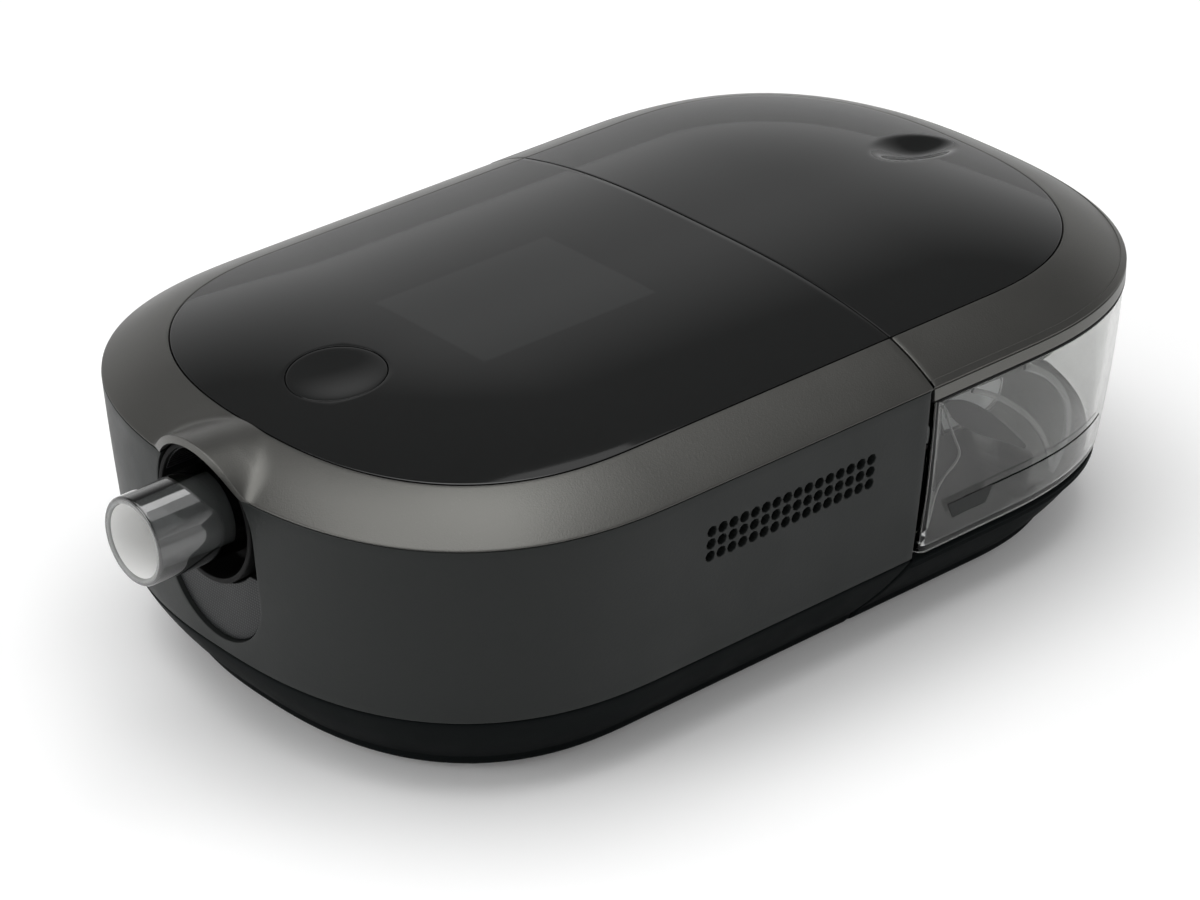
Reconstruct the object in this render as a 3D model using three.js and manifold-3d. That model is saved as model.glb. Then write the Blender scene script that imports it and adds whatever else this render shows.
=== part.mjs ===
// A bedside breathing machine with a built-in humidifier, in millimetres, Z up.
// The long axis is X: the air outlet looks along -X and the water tank fills the +X end.
// One plan outline, drawn in or out, shapes the base, the wall, the top, the lid and the tank.
import * as THREE from "three";
import { mergeVertices } from "three/addons/utils/BufferGeometryUtils.js";
import Module from "manifold-3d";

const wasm = await Module();
wasm.setup();

// Outer form
const bodyLength = 270;
const bodyWidth = 169;
const bodyHeight = 85.8;
const endDepth = 77;
const endPower = 2.48;
const footHeight = 2;
const keelHeight = 2.6;
const baseTop = 22.1;
const rimDepth = 7.8;
const domeRise = 5.9;
const floorInset = 19.4;
const keelInset = 16.8;
const bowlInset = 9.6;
const wallFootInset = 4.5;
const wallMidInset = 1.9;
const rimMidInset = 8;
const rimMidRise = 4.6;
const rimInset = 15.8;
const domePower = 2.93;
const quarterSteps = 9;
const domeShares = [1, 0.96, 0.9, 0.82, 0.7, 0.55, 0.35, 0.12];
const undersideShares = [0.12, 0.55, 0.82, 1];

// Walls and clearances
const shellWall = 2.4;
const seam = 0.4;
const fit = 0.3;
const groove = 0.5;
const over = 30;
const sameVertex = 0.0001;
const roundSides = 24;
const smallSides = 8;
const midSides = 16;
const arcSteps = 10;

// Where the tank begins
const tankStart = 25.2;
const tankGap = 0.5;
const cradleLeanAngle = 27;
const cradleStart = 24.9;

// Air outlet
const outletShare = 0.7168;
const outletReach = 19.8;
const outletTipWidth = 22.4;
const outletRootWidth = 23.4;
const outletWall = 1.5;
const outletFlange = 3;
const wellWidth = 36.6;
const wellDepth = 21;
const wellStep = 11.5;
const wellBackWidth = 26.5;
const wellLip = 0.8;
const wellWall = 1.4;
const recessBottom = 26;
const plateSink = 1;
const plateThickness = 2;
const hoodReach = 2.2;
const hoodWall = 2.1;
const hoodLength = 21;
const hoodTaper = 2;

// Panel, button and display
const panelThickness = 2.4;
const ledgeWidth = 5;
const ledgeThickness = 2;
const buttonOffset = 42;
const buttonWidth = 24.8;
const buttonDepth = 4.6;
const buttonDish = 1.3;
const buttonDishWidth = 22;
const dishSteps = 6;
const buttonFlangeWidth = 28.6;
const buttonFlange = 1;
const buttonTravel = 1.2;
const stemWidth = 5;
const switchSize = 6;
const switchHeight = 2.3;
const springWidth = 10.6;
const springWire = 0.7;
const springTurns = 3;
const turnSteps = 10;
const wireSides = 5;
const boardThickness = 1.6;
const controlBoardDrop = 10.8;
const controlBoardLength = 103;
const controlBoardOffset = 80.5;
const controlBoardWidth = 50;
const postWidth = 5;
const displayLength = 52;
const displayWidth = 38;
const displayRim = 2;
const displayOffset = 98.5;

// Vent holes in the near wall
const ventColumns = 16;
const ventRows = 3;
const ventPitch = 3.5;
const ventWidth = 2.7;
const ventDrop = 16.1;
const ventEnd = 20;
const ventSides = 6;

// Filter door and power inlet in the far wall
const doorLength = 54;
const doorDrop = 12.1;
const doorFoot = 34;
const doorOffset = 104;
const doorThickness = 2;
const doorPinWidth = 1;
const doorPinLength = 1.5;
const doorPinRise = 1.6;
const doorGripWidth = 16;
const doorGripHeight = 4;
const filterShare = 0.3286;
const filterBoxWall = 1.6;
const fineFilterThickness = 2;
const powerLength = 14;
const powerHeight = 11;
const powerDepth = 13;
const powerFoot = 32;
const powerOffset = 144;
const powerBore = 6;
const powerPin = 2;

// Ports between machine and tank
const portSpread = 38;
const portDrop = 24.1;
const portWidth = 19;
const portSealWall = 2.2;
const ductWall = 1.4;
const ductSides = 8;
const ductSteps = 12;
const shortDuctSteps = 8;
const blowerDuctSteps = 7;
const channelStraight = 10;
const channelBend = 30;
const channelSwingShare = 0.65;

// Blower
const blowerGap = 41;
const blowerSide = 12;
const blowerFloor = 22.5;
const blowerHeight = 23.5;
const blowerWall = 2;
const scrollSmall = 32;
const scrollLarge = 42;
const scrollThroat = 19;
const scrollReach = 48;
const scrollSteps = 26;
const coverThickness = 2.2;
const collarWidth = 32;
const collarHeight = 8;
const impellerWidth = 54;
const impellerDisc = 1.6;
const impellerHub = 11;
const impellerHeight = 15;
const impellerRise = 1.5;
const bladeCount = 9;
const bladeThickness = 1.4;
const bladeRoot = 9;
const bladeSweepShare = 0.09;
const bladeShares = [0, 0.5, 1];
const shaftWidth = 4;
const motorWidth = 38;
const motorHeight = 13;
const mountWidth = 10;
const mountHeight = 7;
const mountReach = 3;
const mountCount = 3;
const earThickness = 2.5;

// Boards and padding inside
const mainBoardLength = 96;
const mainBoardEdge = 29;
const mainBoardGap = 5;
const mainBoardTop = 11;
const mainBoardOffset = 87;
const canWidth = 12;
const canPitchCount = 6;
const plugStartShare = 0.25;
const canHeight = 14;
const foamLength = 12;
const foamWidth = 20;
const foamHeight = 32;
const foamOffset = 28;

// Tank, cradle and lid
const tankWall = 2.4;
const cradleTop = 20.8;
const tankFloor = 2.6;
const tankFoot = 21.1;
const tankDrop = 4.9;
const tankRimInset = 0.7;
const skirtDrop = 3.8;
const skirtInset = 0.3;
const sealWidth = 2.2;
const lidFloor = 1.8;
const heaterWidth = 78;
const heaterThickness = 4;
const heaterOffset = 53;
const heaterFlange = 3;
const waterPlateThickness = 0.8;
const waterPlateRim = 4;
const insulatorWidth = 60;
const dimpleOffset = 33;
const dimpleLength = 26;
const dimpleWidth = 15.6;
const dimpleDepth = 3.4;
const hingeDrop = 8.2;
const hingeReach = 1.4;
const pinWidth = 2.6;
const knuckleWidth = 6;
const knuckleLength = 11;
const knuckleCount = 3;
const archWidth = 38;
const archSpan = 27;
const archCrownShare = 0.694;
const archThickness = 1.6;
const archDrop = 12.1;
const archSteps = 10;
const guideEnd = 35;
const guideReach = 46;
const guideInwardShare = 0.8;

// Feet and screws
const footWidth = 14;
const footSink = 0.6;
const footSpread = 48;
const footStarts = [-92, -4, 88];
const screwHead = 6;
const screwHeadHeight = 2.2;
const screwWidth = 3;
const screwLength = 26;
const bossWidth = 8.4;
const bossHeight = 6.5;
const bossSideShare = 0.71;
const bossStarts = [-72, 8];
const ribThickness = 2;

// Sizes that follow from the ones above
const halfLength = bodyLength / 2;
const halfWidth = bodyWidth / 2;
const outletEnd = -halfLength;
const floorTop = footHeight + shellWall;
const rimTop = bodyHeight - domeRise;
const wallTop = rimTop - rimDepth;
const outletHeight = bodyHeight * outletShare;
const controlBoardTop = bodyHeight - controlBoardDrop;
const ventHeight = wallTop - ventDrop;
const doorHeight = wallTop - doorDrop - doorFoot;
const portHeight = wallTop - portDrop;
const guideDrop = portHeight - guideEnd;
const tankTop = wallTop - tankDrop;
const skirtFoot = wallTop - skirtDrop;
const hingeHeight = wallTop - hingeDrop;
const archHeight = wallTop - archDrop;
const archCrown = archCrownShare * (archHeight - tankFoot);
const archRise = archHeight - archCrown;
const canPitch = mainBoardLength / canPitchCount;
const bossSide = halfWidth * bossSideShare;
const mainBoardWidth = bossSide - mainBoardGap - mainBoardEdge;
const mainBoardSide = -mainBoardEdge - mainBoardWidth / 2;
const machineEnd = tankStart - tankGap / 2;
const tankFace = tankStart + tankGap / 2;
const buttonX = outletEnd + buttonOffset;
const displayX = outletEnd + displayOffset;
const blowerX = outletEnd + blowerGap + scrollLarge;
const mountCircle = scrollSmall + scrollLarge + 2 * mountReach;
const doorX = outletEnd + doorOffset;
const powerX = outletEnd + powerOffset;
const heaterX = halfLength - heaterOffset;
const dimpleX = halfLength - dimpleOffset;
const controlBoardX = outletEnd + controlBoardOffset;
const hingeX = halfLength + hingeReach;
const portInner = machineEnd - shellWall - fit;

// Levels of the outer form, each an inset of the plan outline and a height
const baseLevels = [
  [floorInset, footHeight],
  [keelInset, footHeight + keelHeight],
  [bowlInset, (footHeight + keelHeight + baseTop) / 2],
  [wallFootInset, baseTop],
];
const wallLevels = [
  [wallFootInset, baseTop + seam],
  [wallMidInset, (baseTop + wallTop) / 2],
  [0, wallTop - seam],
];
const rimLevels = [
  [0, wallTop],
  [rimMidInset, wallTop + rimMidRise],
  [rimInset, rimTop],
];

// The outer face of the long wall at a height between its foot and its middle
function wallSideAt(z) {
  const [[lowInset, low], [middleInset, middle]] = wallLevels;
  const share = (z - low) / (middle - low);
  return halfWidth - lowInset - share * (middleInset - lowInset);
}
const doorPinHeight = doorFoot + fit + doorPinRise;
const filterOuter = wallSideAt(doorFoot - filterBoxWall) - shellWall - fit;
const filterThickness = filterShare * (filterOuter - blowerSide - scrollLarge);
const filterBack = filterOuter - filterThickness - fineFilterThickness - 4 * fit;

const colours = {
  base: [0x151718, 0.5, 0],
  wall: [0x33373a, 0.55, 0],
  rim: [0x55544f, 0.38, 0.55],
  panel: [0x0c0c0d, 0.06, 0],
  clear: [0x8f928e, 0.08, 0],
  smoke: [0x3a3c3b, 0.08, 0],
  black: [0x0b0b0c, 0.6, 0],
  rubber: [0x1a1a1b, 0.85, 0],
  steel: [0xb9bbbd, 0.3, 1],
  board: [0x1d5a34, 0.6, 0],
  foam: [0x3b3d40, 0.95, 0],
  silicone: [0x9ea3a6, 0.7, 0],
  white: [0xd9dbd8, 0.6, 0],
};
const materials = Object.fromEntries(
  Object.entries(colours).map(([name, [color, roughness, metalness]]) => [
    name,
    new THREE.MeshStandardMaterial({ name, color, roughness, metalness }),
  ]),
);

// A closed three.js geometry as a solid that can be cut and joined
function solid(geometry) {
  const loose = geometry.index ? geometry.toNonIndexed() : geometry;
  const bare = new THREE.BufferGeometry();
  bare.setAttribute("position", loose.getAttribute("position"));
  const merged = mergeVertices(bare, sameVertex);
  const mesh = new wasm.Mesh({
    numProp: 3,
    vertProperties: merged.attributes.position.array,
    triVerts: new Uint32Array(merged.index.array),
  });
  return new wasm.Manifold(mesh);
}

// The solid as a named mesh with one of the materials
const root = new THREE.Group();
function place(name, made, material, parent = root) {
  const { vertProperties, triVerts, numProp } = made.getMesh();
  const points = new Float32Array((vertProperties.length / numProp) * 3);
  for (let i = 0; i < points.length / 3; i++) {
    points.set(vertProperties.subarray(i * numProp, i * numProp + 3), i * 3);
  }
  const geometry = new THREE.BufferGeometry();
  geometry.setAttribute("position", new THREE.BufferAttribute(points, 3));
  geometry.setIndex(new THREE.BufferAttribute(triVerts, 1));
  geometry.computeVertexNormals();
  const mesh = new THREE.Mesh(geometry, materials[material]);
  mesh.name = name;
  parent.add(mesh);
  return mesh;
}

const joined = (...pieces) => pieces.reduce((all, piece) => all.add(piece));
const cut = (body, ...tools) => tools.reduce((left, tool) => left.subtract(tool), body);

// A block between two corners
function block([x0, y0, z0], [x1, y1, z1]) {
  const geometry = new THREE.BoxGeometry(x1 - x0, y1 - y0, z1 - z0);
  geometry.translate((x0 + x1) / 2, (y0 + y1) / 2, (z0 + z1) / 2);
  return solid(geometry);
}

// An upright cylinder from z0 to z1
function post(x, y, z0, z1, width, sides = midSides) {
  const geometry = new THREE.CylinderGeometry(width / 2, width / 2, z1 - z0, sides);
  geometry.rotateX(Math.PI / 2);
  geometry.translate(x, y, (z0 + z1) / 2);
  return solid(geometry);
}

// A solid of revolution about a line along X, from [x, radius] pairs
function turnedAlongX(profile, y, z, sides = roundSides) {
  const points = profile.map(([x, radius]) => new THREE.Vector2(radius, x));
  const geometry = new THREE.LatheGeometry(points, sides);
  geometry.rotateZ(-Math.PI / 2);
  geometry.translate(0, y, z);
  return solid(geometry);
}

// A solid of revolution about an upright line, from [radius, z] pairs
function turnedUpright(profile, x, y, sides = roundSides) {
  const points = profile.map(([radius, z]) => new THREE.Vector2(radius, z));
  const geometry = new THREE.LatheGeometry(points, sides);
  geometry.rotateX(Math.PI / 2);
  geometry.translate(x, y, 0);
  return solid(geometry);
}

// A plan shape extruded from z0 to z1
function prism(shape, z0, z1) {
  const geometry = new THREE.ExtrudeGeometry(shape, { depth: z1 - z0, bevelEnabled: false });
  geometry.translate(0, 0, z0);
  return solid(geometry);
}

// A shape drawn in Y and Z, extruded along X from x0 to x1
function prismAlongX(shape, x0, x1) {
  const geometry = new THREE.ExtrudeGeometry(shape, { depth: x1 - x0, bevelEnabled: false });
  const axes = new THREE.Matrix4().makeBasis(
    new THREE.Vector3(0, 1, 0),
    new THREE.Vector3(0, 0, 1),
    new THREE.Vector3(1, 0, 0),
  );
  geometry.applyMatrix4(axes);
  geometry.translate(x0, 0, 0);
  return solid(geometry);
}

// The plan outline, drawn in by inset and shrunk by share, anticlockwise from above:
// straight sides between two ends that are halves of a squarish ellipse
function outline(inset, share = 1) {
  const straight = halfLength - endDepth;
  const depth = (endDepth - inset) * share;
  const half = (halfWidth - inset) * share;
  const corner = [];
  for (let i = 0; i <= quarterSteps; i++) {
    const turn = ((i / quarterSteps) * Math.PI) / 2;
    const along = straight + depth * Math.cos(turn) ** (2 / endPower);
    corner.push([along, half * Math.sin(turn) ** (2 / endPower)]);
  }
  const back = corner.slice().reverse();
  return [
    ...corner,
    ...back.map(([x, y]) => [-x, y]),
    ...corner.slice(1).map(([x, y]) => [-x, -y]),
    ...back.slice(0, -1).map(([x, y]) => [x, -y]),
  ];
}

// A closed skin over rings of equal count, each [points, height of each point]
function skin(rings) {
  const count = rings[0].length;
  const points = rings.flat();
  const faces = [];
  for (let r = 0; r + 1 < rings.length; r++) {
    for (let i = 0; i < count; i++) {
      const a = r * count + i;
      const b = r * count + ((i + 1) % count);
      faces.push(a, b, b + count, a, b + count, a + count);
    }
  }
  const last = (rings.length - 1) * count;
  const centres = [points.length, points.length + 1];
  points.push([0, 0, rings[0][0][2]], [0, 0, rings.at(-1)[0][2]]);
  for (let i = 0; i < count; i++) {
    const next = (i + 1) % count;
    faces.push(centres[0], next, i);
    faces.push(centres[1], last + i, last + next);
  }
  const geometry = new THREE.BufferGeometry();
  geometry.setAttribute("position", new THREE.Float32BufferAttribute(points.flat(), 3));
  geometry.setIndex(faces);
  return solid(geometry);
}

// A solid through plan outlines at rising heights
function loft(levels) {
  return skin(levels.map(([inset, z]) => outline(inset).map(([x, y]) => [x, y, z])));
}

// The levels drawn further in, and carried straight past both ends
function inside(levels, wall, below = over, above = over) {
  const drawn = levels.map(([inset, z]) => [inset + wall, z]);
  const [firstInset, firstHeight] = drawn[0];
  const [lastInset, lastHeight] = drawn.at(-1);
  if (below) drawn.unshift([firstInset, firstHeight - below]);
  if (above) drawn.push([lastInset, lastHeight + above]);
  return loft(drawn);
}

// Everything on the machine's side, or on the tank's side, of a plane across the body
const machineSide = (x) =>
  block([outletEnd - over, -halfWidth - over, -over], [x, halfWidth + over, bodyHeight + over]);
const tankSide = (x) =>
  block([x, -halfWidth - over, -over], [halfLength + over, halfWidth + over, bodyHeight + over]);

// The height of the domed top where the outline is shrunk to share
const domeHeight = (share) => rimTop + domeRise * (1 - share ** domePower);
function domeHeightAt(x, y) {
  const depth = endDepth - rimInset;
  const beyond = Math.max(Math.abs(x) - (halfLength - endDepth), 0) / depth;
  const across = Math.abs(y) / (halfWidth - rimInset);
  return domeHeight((beyond ** endPower + across ** endPower) ** (1 / endPower));
}

// The domed top as a plate of the given thickness
function dome(thickness, inset = rimInset + groove) {
  const ring = (share, lift) =>
    outline(inset, share).map(([x, y]) => [x, y, domeHeight(share) + lift]);
  return skin([
    ...undersideShares.map((share) => ring(share, -thickness)),
    ...domeShares.map((share) => ring(share, 0)),
  ]);
}

// A tube with a bore, bent along a route of points
function bentTube(route, width, wall, steps = ductSteps) {
  const path = new THREE.CatmullRomCurve3(route.map((point) => new THREE.Vector3(...point)));
  const section = new THREE.Shape();
  const circle = (radius) =>
    Array.from({ length: ductSides }, (_, i) => {
      const turn = (i / ductSides) * 2 * Math.PI;
      return new THREE.Vector2(radius * Math.cos(turn), radius * Math.sin(turn));
    });
  section.setFromPoints(circle(width / 2));
  section.holes.push(new THREE.Path().setFromPoints(circle(width / 2 - wall)));
  return solid(new THREE.ExtrudeGeometry(section, { steps, extrudePath: path }));
}

// The slanted joint in the base, where the cradle begins
function cradleHalf(shift) {
  const lean = (baseTop - footHeight + over) * Math.tan(THREE.MathUtils.degToRad(cradleLeanAngle));
  const start = cradleStart + shift;
  const shape = new THREE.Shape([
    new THREE.Vector2(start, baseTop),
    new THREE.Vector2(start - lean, footHeight - over),
    new THREE.Vector2(halfLength + over, footHeight - over),
    new THREE.Vector2(halfLength + over, baseTop),
  ]);
  const depth = bodyWidth + 2 * over;
  const geometry = new THREE.ExtrudeGeometry(shape, { depth, bevelEnabled: false });
  geometry.rotateX(Math.PI / 2);
  geometry.translate(0, depth / 2, 0);
  return joined(solid(geometry), tankSide(start).subtract(belowPlane(baseTop - seam)));
}
const belowPlane = (z) =>
  block([-halfLength - over, -halfWidth - over, -2 * over], [halfLength + over, halfWidth + over, z]);

const footPlaces = footStarts.flatMap((x) => [
  [x, -footSpread],
  [x, footSpread],
]);
const bossPlaces = bossStarts.flatMap((x) => [
  [x, -bossSide],
  [x, bossSide],
]);
const mountPlaces = Array.from({ length: mountCount }, (_, i) => {
  const turn = ((i + 0.5) / mountCount) * 2 * Math.PI;
  return [
    blowerX + (mountCircle / 2) * Math.cos(turn),
    blowerSide + (mountCircle / 2) * Math.sin(turn),
  ];
});
const boardPostPlaces = [-1, 1].flatMap((end) =>
  [-1, 1].map((side) => [
    outletEnd + mainBoardOffset + end * (mainBoardLength / 2 - postWidth),
    mainBoardSide + side * (mainBoardWidth / 2 - postWidth),
  ]),
);

// Base tray: a bowl with posts for the boards and the blower, and screw bosses
function baseTray() {
  const bowl = cut(loft(baseLevels), cradleHalf(0));
  const hollow = cut(
    inside(baseLevels, shellWall, 0).subtract(belowPlane(floorTop)),
    cradleHalf(-shellWall),
  );
  const mountFoot = blowerFloor - fit - mountHeight - fit;
  const posts = [
    ...mountPlaces.map(([x, y]) => post(x, y, footHeight + fit, mountFoot, mountWidth, smallSides)),
    ...boardPostPlaces.map(([x, y]) =>
      post(x, y, footHeight + fit, mainBoardTop - boardThickness - fit, postWidth, smallSides),
    ),
    ...bossPlaces.map(([x, y]) => post(x, y, footHeight + fit, baseTop, bossWidth, smallSides)),
  ];
  const holes = [
    ...footPlaces
      .filter(([x]) => x < tankStart)
      .map(([x, y]) => post(x, y, footHeight - over, footHeight + footSink, footWidth + 2 * fit)),
    ...bossPlaces.flatMap(([x, y]) => [
      post(x, y, footHeight - over, footHeight + fit + screwHeadHeight, screwHead + 2 * fit, smallSides),
      post(x, y, footHeight, baseTop + over, screwWidth + 2 * fit, smallSides),
    ]),
  ];
  const inner = joined(...posts).intersect(loft(baseLevels));
  return cut(joined(cut(bowl, hollow), inner), ...holes);
}

// The upright slot with round ends at the outlet, drawn in Y and Z
function recessShape(clearance) {
  const radius = wellWidth / 2 - clearance;
  const low = recessBottom + wellWidth / 2;
  const shape = new THREE.Shape();
  shape.absarc(0, outletHeight, radius, 0, Math.PI, false);
  shape.absarc(0, low, radius, Math.PI, 2 * Math.PI, false);
  return shape;
}
const recess = (clearance, x0, x1) => {
  const points = recessShape(clearance).getPoints(arcSteps);
  return prismAlongX(new THREE.Shape(points.slice(0, -1)), x0, x1);
};

// Rows of round holes through the near wall
function vents() {
  const holes = [];
  const width = (ventColumns - 1) * ventPitch;
  for (let row = 0; row < ventRows; row++) {
    for (let column = 0; column < ventColumns; column++) {
      const geometry = new THREE.CylinderGeometry(
        ventWidth / 2,
        ventWidth / 2,
        shellWall + 2 * wallFootInset,
        ventSides,
      );
      const x = machineEnd - ventEnd - width + column * ventPitch;
      const z = ventHeight + (row - (ventRows - 1) / 2) * ventPitch;
      geometry.translate(x, -halfWidth + shellWall, z);
      holes.push(solid(geometry));
    }
  }
  return holes;
}

// Opening of the filter door in the far wall
const doorOpening = (clearance) =>
  block(
    [doorX - doorLength / 2 - clearance, halfWidth - wallFootInset - shellWall, doorFoot - clearance],
    [
      doorX + doorLength / 2 + clearance,
      halfWidth + over,
      doorFoot + doorHeight + clearance,
    ],
  );

// The two stub pins of the filter door, or their holes, in the thickness of the wall
function doorPins(clearance) {
  const side = wallSideAt(doorPinHeight) - shellWall / 2;
  const radius = doorPinWidth / 2 + clearance;
  const half = doorLength / 2 + fit + doorPinLength + clearance;
  return [-1, 1].map((end) => {
    const ends = [end * (doorLength / 2 - 2 * fit), end * half].sort((a, b) => a - b);
    return turnedAlongX(
      [
        [doorX + ends[0], 0],
        [doorX + ends[0], radius],
        [doorX + ends[1], radius],
        [doorX + ends[1], 0],
      ],
      side,
      doorPinHeight,
      smallSides,
    );
  });
}

// Side shell: the drafted wall round the machine, closed towards the tank by a bulkhead
function sideShell() {
  const outer = loft(wallLevels).intersect(machineSide(machineEnd));
  const hollow = inside(wallLevels, shellWall).intersect(machineSide(machineEnd - shellWall));
  const bosses = bossPlaces.flatMap(([x, y]) => {
    const side = Math.sign(y);
    const wall = side * (halfWidth - wallFootInset - shellWall / 2);
    const foot = baseTop + seam;
    return [
      post(x, y, foot, foot + bossHeight, bossWidth, smallSides),
      block(
        [x - ribThickness / 2, Math.min(y, wall), foot],
        [x + ribThickness / 2, Math.max(y, wall), foot + bossHeight],
      ),
    ];
  });
  const boreTop = footHeight + screwLength + screwHeadHeight;
  const bores = bossPlaces.map(([x, y]) =>
    post(x, y, baseTop - over, boreTop, screwWidth + 2 * fit, smallSides),
  );
  const ports = [-1, 1].map((side) =>
    turnedAlongX(
      [
        [machineEnd - over / 2, 0],
        [machineEnd - over / 2, portWidth / 2],
        [machineEnd + over / 2, portWidth / 2],
        [machineEnd + over / 2, 0],
      ],
      side * portSpread,
      portHeight,
      midSides,
    ),
  );
  const powerHole = block(
    [powerX - powerLength / 2 - fit, halfWidth - over / 2, powerFoot - fit],
    [powerX + powerLength / 2 + fit, halfWidth + over, powerFoot + powerHeight + fit],
  );
  return cut(
    joined(cut(outer, hollow), ...bosses),
    recess(0, outletEnd - over, outletEnd + over),
    powerHole,
    doorOpening(fit),
    ...doorPins(fit),
    ...bores,
    ...ports,
    ...vents(),
  );
}

// A flared cone about the outlet, the hood's outside
function hoodCone() {
  const front = outletEnd - hoodReach;
  const radius = wellWidth / 2 + hoodWall;
  return turnedAlongX(
    [
      [front, 0],
      [front, radius - wellLip],
      [front + wellLip, radius],
      [front + hoodLength, radius - hoodTaper],
      [front + hoodLength, 0],
    ],
    0,
    outletHeight,
    roundSides,
  );
}

// Top shell: the sloping rim round the panel, with the hood over the outlet
function topShell() {
  const rim = joined(loft(rimLevels), hoodCone().subtract(belowPlane(wallTop)));
  const hollow = loft([
    [shellWall, wallTop - over],
    [shellWall, wallTop],
    [rimMidInset + shellWall, wallTop + rimMidRise - shellWall],
    [rimInset + ledgeWidth, rimTop - panelThickness - fit - ledgeThickness],
    [rimInset + ledgeWidth, rimTop + over],
  ]);
  const pocket = loft([
    [rimInset, rimTop - panelThickness - fit],
    [rimInset, rimTop + over],
  ]);
  const bore = recess(0, outletEnd - over, outletEnd + wellDepth);
  const shell = cut(rim, hollow, pocket).intersect(machineSide(machineEnd));
  const collar = turnedAlongX(
    [
      [outletEnd - over, 0],
      [outletEnd - over, wellWidth / 2],
      [outletEnd + hoodLength, wellWidth / 2],
      [outletEnd + hoodLength, 0],
    ],
    0,
    outletHeight,
    roundSides,
  );
  return cut(shell, collar, bore.subtract(belowPlane(outletHeight)));
}

// Top panel: the glossy dome, with a hole for the button and posts for the control board
function topPanel() {
  const plate = dome(panelThickness).intersect(machineSide(machineEnd));
  const posts = controlPostPlaces.map(([x, y]) =>
    post(x, y, controlBoardTop + fit, domeHeightAt(x, y) - panelThickness / 2, postWidth, smallSides),
  );
  const hole = post(buttonX, 0, controlBoardTop, bodyHeight + over, buttonWidth, roundSides);
  return cut(joined(plate, ...posts), hole);
}
const controlPostPlaces = [-1, 1].flatMap((end) =>
  [-1, 1].map((side) => [
    controlBoardX + end * (controlBoardLength / 2 - postWidth / 2),
    side * (controlBoardWidth / 2 - postWidth / 2),
  ]),
);

// Start button: a dished disc with a flange under the panel and a stem over the switch
function startButton() {
  const radius = buttonWidth / 2 - groove;
  const middle = domeHeightAt(buttonX, 0);
  const disc = dome(buttonDepth).intersect(
    post(buttonX, 0, middle - over, middle + over, 2 * radius, roundSides),
  );
  const dish = [[0, middle - buttonDish]];
  for (let i = 1; i <= dishSteps; i++) {
    const share = i / dishSteps;
    dish.push([(share * buttonDishWidth) / 2, middle - buttonDish * (1 - share ** 2)]);
  }
  dish.push([buttonDishWidth / 2, middle + over], [0, middle + over]);
  const flangeTop = domeHeightAt(buttonX - buttonFlangeWidth / 2, 0) - panelThickness - fit;
  const flange = post(buttonX, 0, flangeTop - buttonFlange, flangeTop, buttonFlangeWidth, roundSides);
  const neck = post(buttonX, 0, flangeTop - buttonFlange, middle - buttonDepth / 2, 2 * radius, roundSides);
  const stemFoot = controlBoardTop + fit + switchHeight + buttonTravel + fit;
  const stem = post(buttonX, 0, stemFoot, flangeTop, stemWidth, smallSides);
  return joined(disc.subtract(turnedUpright(dish, buttonX, 0, roundSides)), neck, flange, stem);
}
const buttonFlangeFoot =
  domeHeightAt(buttonX - buttonFlangeWidth / 2, 0) - panelThickness - fit - buttonFlange;

// Button spring: a round coil between the board and the button's flange
class Coil extends THREE.Curve {
  constructor(radius, z0, z1, turns) {
    super();
    Object.assign(this, { radius, z0, z1, turns });
  }
  getPoint(share, target = new THREE.Vector3()) {
    const turn = share * this.turns * 2 * Math.PI;
    return target.set(
      buttonX + this.radius * Math.cos(turn),
      this.radius * Math.sin(turn),
      this.z0 + share * (this.z1 - this.z0),
    );
  }
}
function buttonSpring() {
  const wire = springWire / 2;
  const path = new Coil(
    springWidth / 2,
    controlBoardTop + fit + wire,
    buttonFlangeFoot - fit - wire,
    springTurns,
  );
  const section = new THREE.Shape(
    Array.from({ length: wireSides }, (_, i) => {
      const turn = (i / wireSides) * 2 * Math.PI;
      return new THREE.Vector2(wire * Math.cos(turn), wire * Math.sin(turn));
    }),
  );
  const steps = turnSteps * springTurns;
  return solid(new THREE.ExtrudeGeometry(section, { steps, extrudePath: path }));
}

function controlBoard() {
  return block(
    [controlBoardX - controlBoardLength / 2, -controlBoardWidth / 2, controlBoardTop - boardThickness],
    [controlBoardX + controlBoardLength / 2, controlBoardWidth / 2, controlBoardTop],
  );
}
function buttonSwitch() {
  return block(
    [buttonX - switchSize / 2, -switchSize / 2, controlBoardTop + fit],
    [buttonX + switchSize / 2, switchSize / 2, controlBoardTop + fit + switchHeight],
  );
}
function displayModule() {
  const half = [displayLength / 2 + displayRim, displayWidth / 2 + displayRim];
  const top = domeHeightAt(displayX - half[0], half[1]) - panelThickness - fit;
  const frame = block(
    [displayX - half[0], -half[1], controlBoardTop + fit],
    [displayX + half[0], half[1], top],
  );
  const glass = block(
    [displayX - displayLength / 2, -displayWidth / 2, top - fit],
    [displayX + displayLength / 2, displayWidth / 2, top + over],
  );
  return frame.subtract(glass);
}

// Outlet well: a deep cup behind the recess, with a hole for the outlet tube
function outletWell() {
  const outer = wellWidth / 2 - fit;
  const inner = outer - wellWall;
  const front = outletEnd + wellLip;
  const step = outletEnd + wellStep;
  const back = outletEnd + wellDepth;
  const bore = outletRootWidth / 2 + fit;
  const rear = wellBackWidth / 2;
  return turnedAlongX(
    [
      [front, inner],
      [front, outer],
      [step, outer],
      [back, rear],
      [back, bore],
      [back - plateThickness, bore],
      [back - plateThickness, rear - wellWall],
      [step, inner],
      [front, inner],
    ],
    0,
    outletHeight,
    roundSides,
  );
}

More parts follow.
